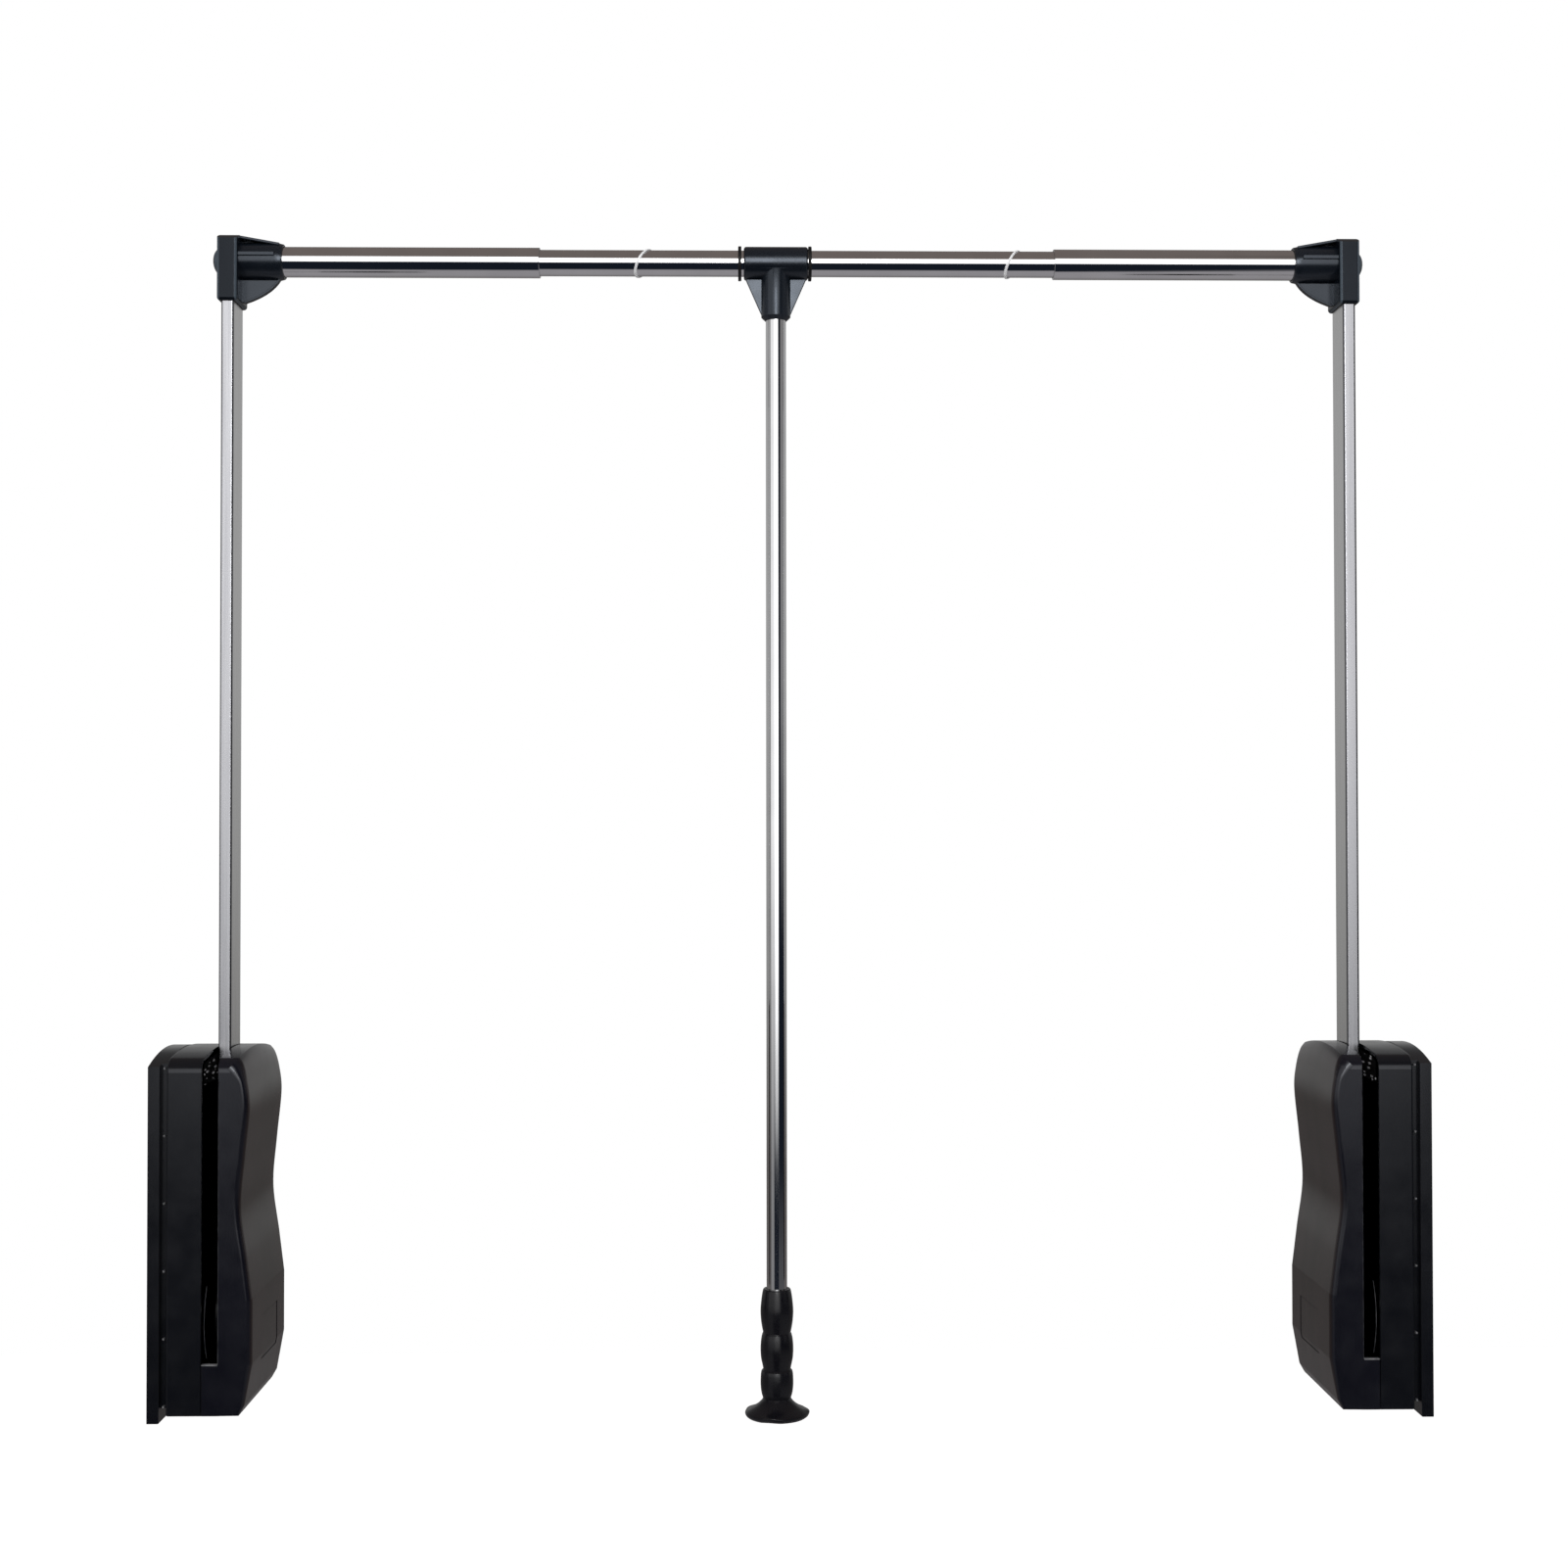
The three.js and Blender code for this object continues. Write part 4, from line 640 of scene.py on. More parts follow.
COOL = (0.93, 0.95, 1.0)
SLATE_TINT = (0.8, 0.88, 1.0)
ALONG_X = (0.03, 1, 1)
ALONG_Z = (1, 1, 0.03)
CHROME = ((0.78, 0.78, 0.79), (0.84, 0.84, 0.85), 0.05)
MATERIALS = {
    "housing_plastic": moulded_plastic(
        "housing_plastic_black", (0.0034, 0.0038, 0.0054), (0.0047, 0.0051, 0.0070), 0.16, 0.42, tint=COOL),
    # Shell plastic: warm painted reflection bands on its sideways faces.
    "shell_plastic": moulded_plastic(
        "shell_plastic_black", (0.0042, 0.0043, 0.0074), (0.0056, 0.0056, 0.0094), 0.16, 0.45,
        side_reflection_bands=((0.0115, 0.0080, 0.0070), (0.0180, 0.0115, 0.0112)), tint=COOL),
    # Slate plastic: a paler painted highlight on its edge fillets.
    "slate_plastic": moulded_plastic(
        "slate_plastic_black", (0.0028, 0.0042, 0.0066), (0.0044, 0.0062, 0.0094), 0.22, 0.22, grain=0.003,
        edges=(0.055, 0.070, 0.086), tint=SLATE_TINT),
    "gear_plastic": moulded_plastic(
        "gear_plastic_dark", (0.025, 0.025, 0.027), (0.034, 0.034, 0.037), 0.5, 0.4),
    "black_steel": plain_finish(
        "black_steel_painted", (0.005, 0.005, 0.0058), (0.009, 0.009, 0.01), clouds=(50, 4),
        wear=(140, 4), gloss=(0.22, 0.34), grain=(1500, 3), depth=0.02 * MM, strength=0.4),
    "chrome": plated("chrome_plate", *CHROME, ALONG_X),
    "aluminium": satin_aluminium(),
    "zinc_steel": plain_finish(
        "zinc_steel_bright", (0.42, 0.43, 0.45), (0.6, 0.6, 0.58), clouds=(120, 4), wear=(300, 4),
        gloss=(0.25, 0.42), grain=(900, 2), depth=0.01 * MM, strength=0.4, metallic=1.0),
    "nylon": plain_finish(
        "nylon_natural", (0.66, 0.63, 0.55), (0.74, 0.72, 0.66), clouds=(70, 3), wear=(200, 3),
        gloss=(0.42, 0.55), grain=(1200, 2), depth=0.02 * MM, strength=0.3),
    "rubber": soft_rubber("rubber_black", (0.003, 0.003, 0.0035), (0.005, 0.005, 0.0055), 0.5, 0.3),
    "grip_rubber": soft_rubber(
        "grip_rubber_black", (0.0038, 0.0036, 0.0052), (0.0056, 0.0054, 0.0074), 0.24, 0.34),
    "foam": open_foam(),
}
GLOSSY_SLATE = moulded_plastic(
    "slate_plastic_glossy", (0.0040, 0.0060, 0.0096), (0.0064, 0.0088, 0.0130), 0.24, 0.6, grain=0,
    tint=SLATE_TINT)
UPRIGHT_CHROME = plated("chrome_plate_upright", *CHROME, ALONG_Z)
# Pale plastic on the lug tips and the slot lip: painted glints where they catch the light.
PAINTED_GLINT_PLASTIC = plain_finish(
    "housing_plastic_painted_glint", (0.1, 0.1, 0.105), (0.26, 0.26, 0.27), clouds=(900, 3), wear=(1500, 2),
    gloss=(0.3, 0.45), grain=(2600, 2), depth=0.02 * MM, strength=0.5, spread=0.35)
# Pale steel on the arc in the slot: a painted highlight line.
PAINTED_HIGHLIGHT_STEEL = painted_highlight("black_steel_painted_highlight", (0.05, 0.052, 0.058), (0.16, 0.165, 0.18))
# Paler plastic on the slot's edge: a painted highlight.
PAINTED_HIGHLIGHT_PLASTIC = painted_highlight("shell_plastic_painted_highlight", (0.012, 0.012, 0.014), (0.05, 0.052, 0.058))
# Near-white and barely metallic: the steel wire painted white, a painted reflection.
PAINTED_REFLECTION_STEEL = plain_finish(
    "spring_steel_painted_reflection", (0.84, 0.84, 0.85), (0.92, 0.92, 0.92), clouds=(300, 3), wear=(600, 3),
    gloss=(0.25, 0.38), grain=(1500, 2), depth=0.005 * MM, strength=0.4, metallic=0.1)


# Housing
def screw_points():
    inset = WALL_SCREW_INSET
    for y in (FRONT + inset, REAR - inset):
        for z in (BOTTOM + inset * 2, TOP - inset * 2):
            yield y, z


def wall_plate(prefix):
    """Arched plate against the wall, its set-back core, and the lugs in the shadow groove."""
    low, high = side_box(prefix, "wall_plate")
    corner = TOP - PLATE_CORNER
    peak = ((FRONT + REAR) / 2, TOP * 2 - corner)
    arch = [(FRONT, low.z), (REAR, low.z)]
    arch += bow((REAR, corner), peak, (FRONT, corner), ROUND // 2)
    plate = prism("plate", arch, "X", low.x, PLATE_THICK, HAIR_FILLET)
    core = carve(prism("core", arch, "X", PLATE_THICK - OVERRUN, high.x), "INTERSECT", block(
        "keep", (0, high.x + OVERRUN), (FRONT + GROOVE_DEPTH, REAR - GROOVE_DEPTH),
        (BOTTOM + GROOVE_DEPTH, TOP + OVERRUN)))
    body = join(plate, core)
    for y, z in screw_points():
        sink = high.x - WALL_SCREW_DEPTH
        body = cut(body, turned("hole", [
            (-OVERRUN, 0), (-OVERRUN, WALL_SCREW_RADIUS), (sink, WALL_SCREW_RADIUS),
            (high.x, WALL_SCREW_HEAD), (high.x + OVERRUN, WALL_SCREW_HEAD), (high.x + OVERRUN, 0),
        ], "X", (y, z), SMALL_ROUND))
    wall_lugs(prefix, high.x)
    side_piece(body, prefix, "wall_plate")


def wall_lugs(prefix, end):
    """Small tips of the lugs that hook the shell to the plate, along the groove, pale as painted glints."""
    for i in range(LUG_COUNT):
        z = BOTTOM + LUG_LOWEST + i * LUG_PITCH
        lug = block(
            f"{prefix}_wall_plate_lug_{i + 1}", (end - LUG_SIZE * 2, end - LUG_SIZE),
            (FRONT + LUG_INSET, FRONT + GROOVE_DEPTH + OVERRUN), (z - LUG_SIZE / 2, z + LUG_SIZE / 2),
            HAIR_FILLET)
        side_detail(lug, prefix, "wall_plate", PAINTED_GLINT_PLASTIC)


def arch_drop(y):
    """How far the arched top lies below its crown."""
    return ARCH_DROP * ((y - (FRONT + REAR) / 2) / ((REAR - FRONT) / 2)) ** 2


def arched(obj):
    """Bends the upper part of a body to the arched top."""
    shape = bmesh.new()
    shape.from_mesh(obj.data)
    for step in range(1, ARCH_CUTS):
        place = (0, FRONT + (REAR - FRONT) * step / ARCH_CUTS, 0)
        everything = shape.verts[:] + shape.edges[:] + shape.faces[:]
        bmesh.ops.bisect_plane(shape, geom=everything, plane_co=place, plane_no=(0, 1, 0), dist=WELD)
    for vert in shape.verts:
        share = max(0.0, 1 - (TOP - vert.co.z) / ARCH_FADE)
        vert.co.z -= arch_drop(vert.co.y) * min(1.0, share * ARCH_GAIN)
    shape.to_mesh(obj.data)
    shape.free()
    return obj


def rounded_front():
    """(y, z) outline of a housing shell, with its round top front edge."""
    return arc_outline([
        (FRONT, BOTTOM, SMALL_FILLET), (REAR, BOTTOM, SMALL_FILLET),
        (REAR, TOP, SMALL_FILLET), (FRONT, TOP, TOP_FILLET),
    ], FRONT_STEPS)


def outer_shell(prefix):
    """Tray beside the wall plate, open towards the slot."""
    low, high = side_box(prefix, "outer_shell")
    body = arched(prism(
        "shell", rounded_front(), "X", low.x, high.x + OVERRUN * 2, SMALL_FILLET, END_STEPS))
    body = cut(body, block(
        "beside", (high.x, high.x + OVERRUN * 4), (FRONT - OVERRUN, REAR + OVERRUN),
        (BOTTOM - OVERRUN, TOP + OVERRUN)))
    inside = rounded_front()
    inside = inset_outline(inside if signed_area(inside) > 0 else inside[::-1], [SHELL_WALL] * len(inside))
    hollow = arched(prism("hollow", inside, "X", low.x + SHELL_WALL, high.x + OVERRUN))
    body = cut(body, hollow, rod("axle", AXLE_HOLE, low.x - OVERRUN, low.x + SHELL_WALL * 2, "X", (0, 0)))
    side_piece(body, prefix, "outer_shell")


def shell_side(left, right, wall=0.0):
    """(x, z) points up the inner shell's outer side: a taper, and above it the wave."""
    def place(shares):
        height, bulge = shares
        return (left + (right - left) * bulge - wall,
                BOTTOM + wall + (TOP - BOTTOM - wall * 2) * height)
    taper = [place(shares) for shares in TAPER_SHARES]
    wave = spline([place(shares) for shares in WAVE_SHARES], WAVE_STEPS)
    return taper[:-1] + wave


def soft_corner(points, index, radius, steps=5):
    """The same open chain with one corner turned into an arc."""
    before, here, after = points[index - 1], points[index], points[index + 1]
    rounded = arc_outline([(*before, 0), (*here, radius), (*after, 0)], steps)
    return points[:index] + rounded[1:-1] + points[index + 1:]


def front_fillet(at_slot, share):
    """Radius of the inner shell's front edge at a share of its height."""
    if at_slot:
        return TOP_FILLET if share > 0.5 else SMALL_FILLET
    upper = max(0.0, min(1.0, (share - FILLET_RISE_SHARE) / (1 - FILLET_RISE_SHARE)))
    lower = max(0.0, min(1.0, (LOW_FADE_SHARE - share) / LOW_FADE_SHARE))
    radius = SIDE_FILLET + (TOP_FILLET - SIDE_FILLET) * upper * upper * (3 - 2 * upper)
    return radius + (LOW_FILLET - radius) * lower


def inner_shell(prefix):
    """Tray with the wavy side, closed in front below the slot by its chin."""
    low, high = side_box(prefix, "inner_shell")
    left = side_box(prefix, "inner_cheek")[0].x
    side = shell_side(left, high.x)
    side = soft_corner(side, 2, TAPER_UPPER_CORNER)
    side = soft_corner(side, 1, TAPER_LOWER_CORNER)
    outline = [(left, BOTTOM)] + side + [(left, TOP)]
    radii = [front_fillet(x <= left, (z - BOTTOM) / (TOP - BOTTOM)) for x, z in outline]

    def ring_at(insets):
        """The outline moved inwards, with its slot side left in place."""
        ring = inset_outline(outline, insets)
        return [(left if base[0] <= left else x, z) for (x, z), base in zip(ring, outline)]

    rings = []
    for rise, run in quarter(FRONT_STEPS):
        ring = ring_at([radius * (1 - rise) for radius in radii])
        rings.append([(x, FRONT + radius * (1 - run), z) for (x, z), radius in zip(ring, radii)])
    for rise, run in quarter(REAR_STEPS):
        ring = ring_at([SMALL_FILLET * (1 - run)] * len(outline))
        rings.append([(x, REAR - SMALL_FILLET * (1 - rise), z) for x, z in ring])
    body = arched(skin("shell", rings))
    lining = [(left - OVERRUN, BOTTOM + SHELL_WALL)] + shell_side(left, high.x, SHELL_WALL)
    lining.append((left - OVERRUN, TOP - SHELL_WALL))
    body = cut(body, arched(
        prism("hollow", lining, "Y", FRONT + SHELL_WALL, REAR - SHELL_WALL, SMALL_FILLET)))
    body = join(body, chin(low.x, left))
    slot_lip(prefix, low.x, left)
    body = cut(body, *recess_cutters(left, high.x))
    nick = arc_outline([
        (left - OVERRUN, FRONT - OVERRUN, 0), (left + SLOT_EDGE, FRONT - OVERRUN, 0),
        (left + SLOT_EDGE, FRONT, 0), (left, FRONT + SLOT_EDGE, 0), (left - OVERRUN, FRONT + SLOT_EDGE, 0)])
    body = cut(body, prism("nick", nick, "Z", slot_bottom(), TOP - TOP_FILLET))
    side_piece(body, prefix, "inner_shell")
    # Paler plastic on the upright faces of the slot's edge: a painted highlight.
    body.data.materials.append(PAINTED_HIGHLIGHT_PLASTIC)
    for face in body.data.polygons:
        x = min(face.center.x, SPAN - face.center.x)
        on_edge = left < x < left + SLOT_EDGE and FRONT < face.center.y < FRONT + SLOT_EDGE
        if on_edge and abs(face.normal.z) < UPRIGHT_LIMIT:
            face.material_index = 1


def recess_cutters(left, right):
    """Shallow bare recess in the side and the finer, deeper line around it."""

    def under_side(name, y, z, depth):
        slab = block(name, (right - RECESS_REACH, right + OVERRUN), y, z)
        core = [(left - OVERRUN, BOTTOM)] + shell_side(left, right, depth) + [(left - OVERRUN, TOP)]
        return cut(slab, prism("core", core, "Y", y[0] - OVERRUN, y[1] + OVERRUN))

    line = RECESS_LINE
    outer_y = (RECESS_Y[0] - line, RECESS_Y[1] + line)
    outer_z = (RECESS_Z[0] - line, RECESS_Z[1] + line)
    panel = under_side("panel", RECESS_Y, RECESS_Z, RECESS_DEPTH)
    frame_line = under_side("line", outer_y, outer_z, RECESS_LINE_DEPTH)
    middle = block("middle", (right - RECESS_REACH - OVERRUN, right + 2 * OVERRUN), RECESS_Y, RECESS_Z)
    return panel, cut(frame_line, middle)


def slot_bottom():
    """Where the slot ends, just under the lowest arm."""
    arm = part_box("left_arm_tube")[1].y
    swing = radians(next(j for j in frame["joints"] if j["name"] == "arm_swing")["range_deg"][1])
    reach = -(FRONT + arm * cos(swing)) / sin(swing)
    return reach * cos(swing) - arm * sin(swing) - SLOT_FOOT_GAP


def chin(start, left):
    """Front wall below the slot."""
    outline = arc_outline([
        (start, BOTTOM, 0), (left + SHELL_WALL / 2, BOTTOM, 0),
        (left + SHELL_WALL / 2, slot_bottom() - LIP, 0), (start, slot_bottom() - LIP, 0),
    ])
    return prism("chin", outline, "Y", FRONT + CHIN_INSET, FRONT + SIDE_FILLET, HAIR_FILLET)


def slot_lip(prefix, start, left):
    """Edge on top of the chin, where the arm comes closest, pale as a painted highlight line."""
    lip = block(
        f"{prefix}_slot_lip", (start + FIT, left), (FRONT + FIT / 2, FRONT + SIDE_FILLET),
        (slot_bottom() - LIP, slot_bottom()), LIP / 4)
    side_detail(lip, prefix, "inner_shell", PAINTED_GLINT_PLASTIC)


def slot_highlight_arc(prefix):
    """Arc on the slot's outer cheek, about the arms' axis, pale as a painted highlight line."""
    face = side_box(prefix, "outer_cheek")[1].x
    rings = []
    for step in range(TRACK_STEPS + 1):
        turn = TRACK_HALF_ANGLE * (2 * step / TRACK_STEPS - 1)
        ring = []
        for corner in range(TRACK_FACETS):
            angle = 2 * pi * corner / TRACK_FACETS
            radius = TRACK_RADIUS + TRACK_WIRE * cos(angle)
            ring.append((face + TRACK_WIRE * sin(angle), -radius * cos(turn), radius * sin(turn)))
        rings.append(ring)
    side_detail(skin(f"{prefix}_slot_highlight_arc", rings), prefix, "outer_cheek", PAINTED_HIGHLIGHT_STEEL)


def channel_pad(prefix):
    """Foam strip on the slot's outer wall: crowned, soft-edged and lumpy where its cells are torn."""
    low, high = side_box(prefix, "channel_pad")
    across, up = PAD_STEPS
    thick = high.x - low.x
    top_drop = arch_drop(high.y) if high.y < (FRONT + REAR) / 2 else 0.0
    rings = []
    for i in range(across + 1):
        y = low.y + (high.y - low.y) * i / across
        roof = high.z - max(0.0, arch_drop(y) - top_drop)
        fillet = max(0.0, FRONT + TOP_FILLET - y)
        roof -= TOP_FILLET - (TOP_FILLET ** 2 - fillet ** 2) ** 0.5
        face, back = [], []
        for j in range(up + 1):
            z = low.z + (roof - low.z) * j / up
            edge = min(i, across - i) / PAD_EDGE_STEPS[0], min(j, up - j) / PAD_EDGE_STEPS[1]
            crown = min(1.0, edge[0]) ** 0.5 * min(1.0, edge[1]) ** 0.5
            lump = noise.noise(Vector((y * LUMP_SCALE, z * LUMP_SCALE, 0))) * LUMP_SHARE
            face.append((low.x + thick * (PAD_EDGE_SHARE + crown * (PAD_CROWN_SHARE + lump)), y, z))
            back.append((low.x, y, z))
        rings.append(face + back[::-1])
    body = skin("pad", rings)
    side_piece(body, prefix, "channel_pad", sharp=180)


def rest_bumper(prefix):
    """Ribbed rubber block that the arm rests against."""
    low, high = side_box(prefix, "rest_bumper")
    outline = rectangle(low.x, high.x, low.z, high.z, BUMPER_CORNER)
    body = prism("bumper", outline, "Y", low.y, high.y, BUMPER_RIM)
    grooves = []
    for share in BUMPER_GROOVE_SHARES:
        centre = (low.y, low.z + (high.z - low.z) * share)
        grooves.append(rod(
            "groove", BUMPER_GROOVE, low.x - OVERRUN, high.x + OVERRUN, "X", centre, GROOVE_ROUND))
    body = cut(body, *grooves)
    side_piece(body, prefix, "rest_bumper")


def arm_foot(prefix):
    """Steel foot of the arm: hub disc, neck, tongue, and the barrel that drives the gear."""
    low, high = side_box(prefix, "arm_foot")
    arm_low, arm_high = side_box(prefix, "arm_tube")
    gear_low = side_box(prefix, "drive_gear")[0].x - FIT
    hub = turned("hub", tube_profile(
        HUB_RADIUS, FOOT_BORE, arm_low.x, arm_high.x, FOOT_RIM), "X", (0, 0))
    neck = block(
        "neck", (arm_low.x, arm_high.x), (arm_low.y, arm_high.y), (NECK_START, arm_low.z - FIT), FOOT_RIM)
    margin = ARM_WALL + FIT
    tongue = block(
        "tongue", (arm_low.x + margin, arm_high.x - margin), (arm_low.y + margin, arm_high.y - margin),
        (NECK_START, high.z))
    barrel = turned("barrel", tube_profile(
        BARREL_RADIUS, FOOT_BORE, gear_low, arm_low.x + FOOT_RIM, FOOT_RIM), "X", (0, 0))
    flats = [
        block("flat", (gear_low - OVERRUN, arm_low.x), across, (-FLAT_REACH, FLAT_REACH))
        for across in ((BARREL_FLAT, FLAT_REACH), (-FLAT_REACH, -BARREL_FLAT))
    ]
    body = join(join(hub, neck, tongue), cut(barrel, *flats))
    pin_place = (0, arm_low.z + PIN_HEIGHT)
    body = cut(body, rod("pin", PIN_HOLE, arm_low.x, arm_high.x, "X", pin_place, PIN_ROUND))
    side_piece(body, prefix, "arm_foot")


def arm_tube(prefix):
    """Flat aluminium tube with round corners."""
    low, high = side_box(prefix, "arm_tube")
    outside = rectangle(low.x, high.x, low.y, high.y, ARM_CORNER)
    inside = rectangle(
        low.x + ARM_WALL, high.x - ARM_WALL, low.y + ARM_WALL, high.y - ARM_WALL, ARM_CORNER - ARM_WALL)
    rings = []
    for outline, z in ((outside, low.z), (outside, high.z), (inside, high.z), (inside, low.z)):
        rings.append([(x, y, z) for x, y in outline])
    body = skin("tube", rings, capped=False)
    side_piece(body, prefix, "arm_tube")


# End bracket
def rail_bracket(prefix):
    """Block over the arm's end, socket for the rail, and webs above and below the socket."""
    low, high = side_box(prefix, "rail_bracket")
    arm_low, arm_high = side_box(prefix, "arm_tube")
    right = (arm_low.x + arm_high.x) - low.x
    mouth = high.x
    body = prism(
        "block", rectangle(low.x, right, low.z, high.z, BRACKET_CORNER), "Y", low.y, high.y,
        BRACKET_RIM, ARC_STEPS)
    half = high.y + OVERRUN
    edge = high.z - BRACKET_CROWN_DROP * (half / high.y) ** 2
    crowned = [(-half, low.z - OVERRUN), (half, low.z - OVERRUN)]
    for step in range(CURVE_STEPS + 1):
        share = 1 - 2 * step / CURVE_STEPS
        crowned.append((half * share, high.z - (high.z - edge) * share ** 2))
    body = carve(body, "INTERSECT", prism("crown", crowned, "X", low.x - OVERRUN, right + OVERRUN))
    socket = turned("socket", [
        (right - OVERRUN, 0), (right - OVERRUN, SOCKET_RADIUS), (mouth - MOUTH_TAPER, SOCKET_RADIUS),
        (mouth - HAIR_FILLET, MOUTH_RADIUS + HAIR_FILLET), (mouth, MOUTH_RADIUS), (mouth, 0),
    ], "X", (0, RAIL_Z))
    mouth_edge = mouth - MOUTH_TAPER / 2
    roof_start, roof_end = high.z - BRACKET_CORNER / 2, RAIL_Z + MOUTH_RADIUS
    out_share, down_share = WEB_CURVE_SHARES
    start = (right + OVERRUN, low.z + BRACKET_CORNER / 2)
    bend = (right + (mouth - right) * out_share, RAIL_Z - (RAIL_Z - low.z) * down_share)
    curve = bow(start, bend, (mouth_edge, RAIL_Z - MOUTH_RADIUS), CURVE_STEPS)
    web = [
        (right - OVERRUN, high.z - BRACKET_CORNER), (right - OVERRUN, low.z + BRACKET_CORNER),
        *curve, (mouth_edge, roof_end), (right + OVERRUN, roof_start),
    ]
    plate = prism("web", web, "Y", -WEB_THICK / 2, WEB_THICK / 2, HAIR_FILLET)
    flange = prism("flange", [
        (right - OVERRUN, roof_start - FLANGE_THICK), (mouth_edge, roof_end - FLANGE_THICK),
        (mouth_edge, roof_end), (right - OVERRUN, roof_start),
    ], "Y", -FLANGE_HALF_DEPTH, FLANGE_HALF_DEPTH, HAIR_FILLET)
    inner_curve = [(u - WEB_BORDER / 2, v + WEB_BORDER) for u, v in curve]
    border_half = WEB_THICK / 2 + WEB_BORDER_PROUD
    border = prism("border", curve + inner_curve[::-1], "Y", -border_half, border_half, HAIR_FILLET / 2)
    rib_z = RAIL_Z + RIB_OFFSET
    rib = block(
        "rib", (right - OVERRUN, mouth - MOUTH_TAPER), (-SOCKET_RADIUS - RIB_PROUD, 0),
        (rib_z - RIB_THICK / 2, rib_z + RIB_THICK / 2), HAIR_FILLET)
    body = join(body, socket, plate, flange, border, rib)
    pocket = prism("pocket", rectangle(
        arm_low.x - FIT, arm_high.x + FIT, arm_low.y - FIT, arm_high.y + FIT, ARM_CORNER + FIT,
    ), "Z", low.z - OVERRUN, high.z - POCKET_ROOF)
    bore_start = right + SOCKET_SOLID
    bore = rod("bore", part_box("left_outer_rail")[1].y + FIT, bore_start, mouth + OVERRUN, "X", (0, RAIL_Z))
    tip = bore_start - BOLT_TIP_GAP
    bolt = rod("bolt", BOLT_RADIUS + FIT, low.x - OVERRUN, tip, "X", (0, RAIL_Z), SMALL_ROUND)
    body = cut(body, pocket, bore, bolt)
    side_piece(body, prefix, "rail_bracket")
    body.data.materials.append(GLOSSY_SLATE)
    for face in body.data.polygons:
        if abs(face.center.x - SPAN / 2) < SPAN / 2 - right:
            face.material_index = 1


def bracket_bolt(prefix):
    """Domed bolt head and its shank."""
    low, high = side_box(prefix, "bracket_bolt")
    seat = side_box(prefix, "rail_bracket")[0].x - FIT
    radius = high.y
    rise = seat - low.x
    crown = [(low.x + rise * (1 - along), radius * out) for out, along in quarter(DOME_STEPS)]
    shank = [(seat, BOLT_RADIUS), (high.x, BOLT_RADIUS), (high.x, 0)]
    body = turned("bolt", crown + shank, "X", (0, RAIL_Z))
    side_piece(body, prefix, "bracket_bolt")


# Rail
def rail_tube(node):
    low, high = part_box(node)
    profile = tube_profile(high.y, high.y - TUBE_WALL, low.x, high.x, TUBE_RIM)
    body = turned("tube", profile, "X", (0, RAIL_Z))
    piece(body, node)


def stop_ring(node):
    """Wire ring wound aslant round the inner rail."""
    low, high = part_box(node)
    radius = RAIL_BOX[1].y + RING_WIRE + RING_GAP
    section = []
    for k in range(WIRE_ROUND):
        angle = 2 * pi * k / WIRE_ROUND
        section.append((RING_HALF_WIDTH * cos(angle), radius + RING_WIRE * sin(angle)))
    body = turned("ring", section, "X", (0, 0))
    slant = Matrix.Identity(4)
    slant[0][1] = tan(RING_YAW)
    slant[0][2] = tan(RING_LEAN)
    body.data.transform(Matrix.Translation(((low.x + high.x) / 2, 0, RAIL_Z)) @ slant)
    # Painted reflection: the wire gets the near-white, barely metallic finish.
    piece(body, node, material=PAINTED_REFLECTION_STEEL)


def tee_ring(node):
    low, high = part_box(node)
    profile = tube_profile(high.y, RAIL_BOX[1].y + FIT, low.x, high.x, HAIR_FILLET)
    body = turned("ring", profile, "X", (0, RAIL_Z))
    piece(body, node)


# Handle
def tee_connector():
    """Sleeve round the rail, stem for the pull rod, and a web on each side."""
    low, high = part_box("tee_connector")
    radius = high.y
    centre = (low.x + high.x) / 2
    halfway = TEE_END * TEE_ROUND_SHARE
    body = turned("sleeve", [
        (low.x, 0), (low.x, radius - TEE_END), (low.x + halfway, radius - halfway),
        (low.x + TEE_END, radius), (high.x - TEE_END, radius),
        (high.x - halfway, radius - halfway), (high.x, radius - TEE_END), (high.x, 0),
    ], "X", (0, RAIL_Z))
    foot = RAIL_Z - STEM_LENGTH
    tip = STEM_RADIUS - STEM_CHAMFER
    up_share, in_share = STEM_ROUND_SHARES
    stem = turned("stem", [
        (foot, 0), (foot, tip), (foot + HAIR_FILLET, tip + HAIR_FILLET),
        (foot + STEM_CHAMFER * up_share, STEM_RADIUS - STEM_CHAMFER * in_share),
        (foot + STEM_CHAMFER, STEM_RADIUS), (RAIL_Z, STEM_RADIUS), (RAIL_Z, 0),
    ], "Z", (centre, 0))
    web = [
        (low.x + TEE_END, RAIL_Z - radius / 2), (low.x + TEE_END, RAIL_Z - radius),
        (centre - STEM_RADIUS, RAIL_Z - TEE_WEB_REACH), (centre + STEM_RADIUS, RAIL_Z - TEE_WEB_REACH),
        (high.x - TEE_END, RAIL_Z - radius), (high.x - TEE_END, RAIL_Z - radius / 2),
    ]
    plate = prism("web", web, "Y", -WEB_THICK / 2, WEB_THICK / 2, HAIR_FILLET)
    body = join(body, stem, plate)
    bore = rod("bore", RAIL_BOX[1].y + FIT, low.x - OVERRUN, high.x + OVERRUN, "X", (0, RAIL_Z))
    rod_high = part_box("pull_rod")[1]
    socket = rod("socket", rod_high.y + FIT, foot - OVERRUN, rod_high.z + FIT, "Z", (centre, 0))
    body = cut(body, bore, socket)
    piece(body, "tee_connector", material=GLOSSY_SLATE)


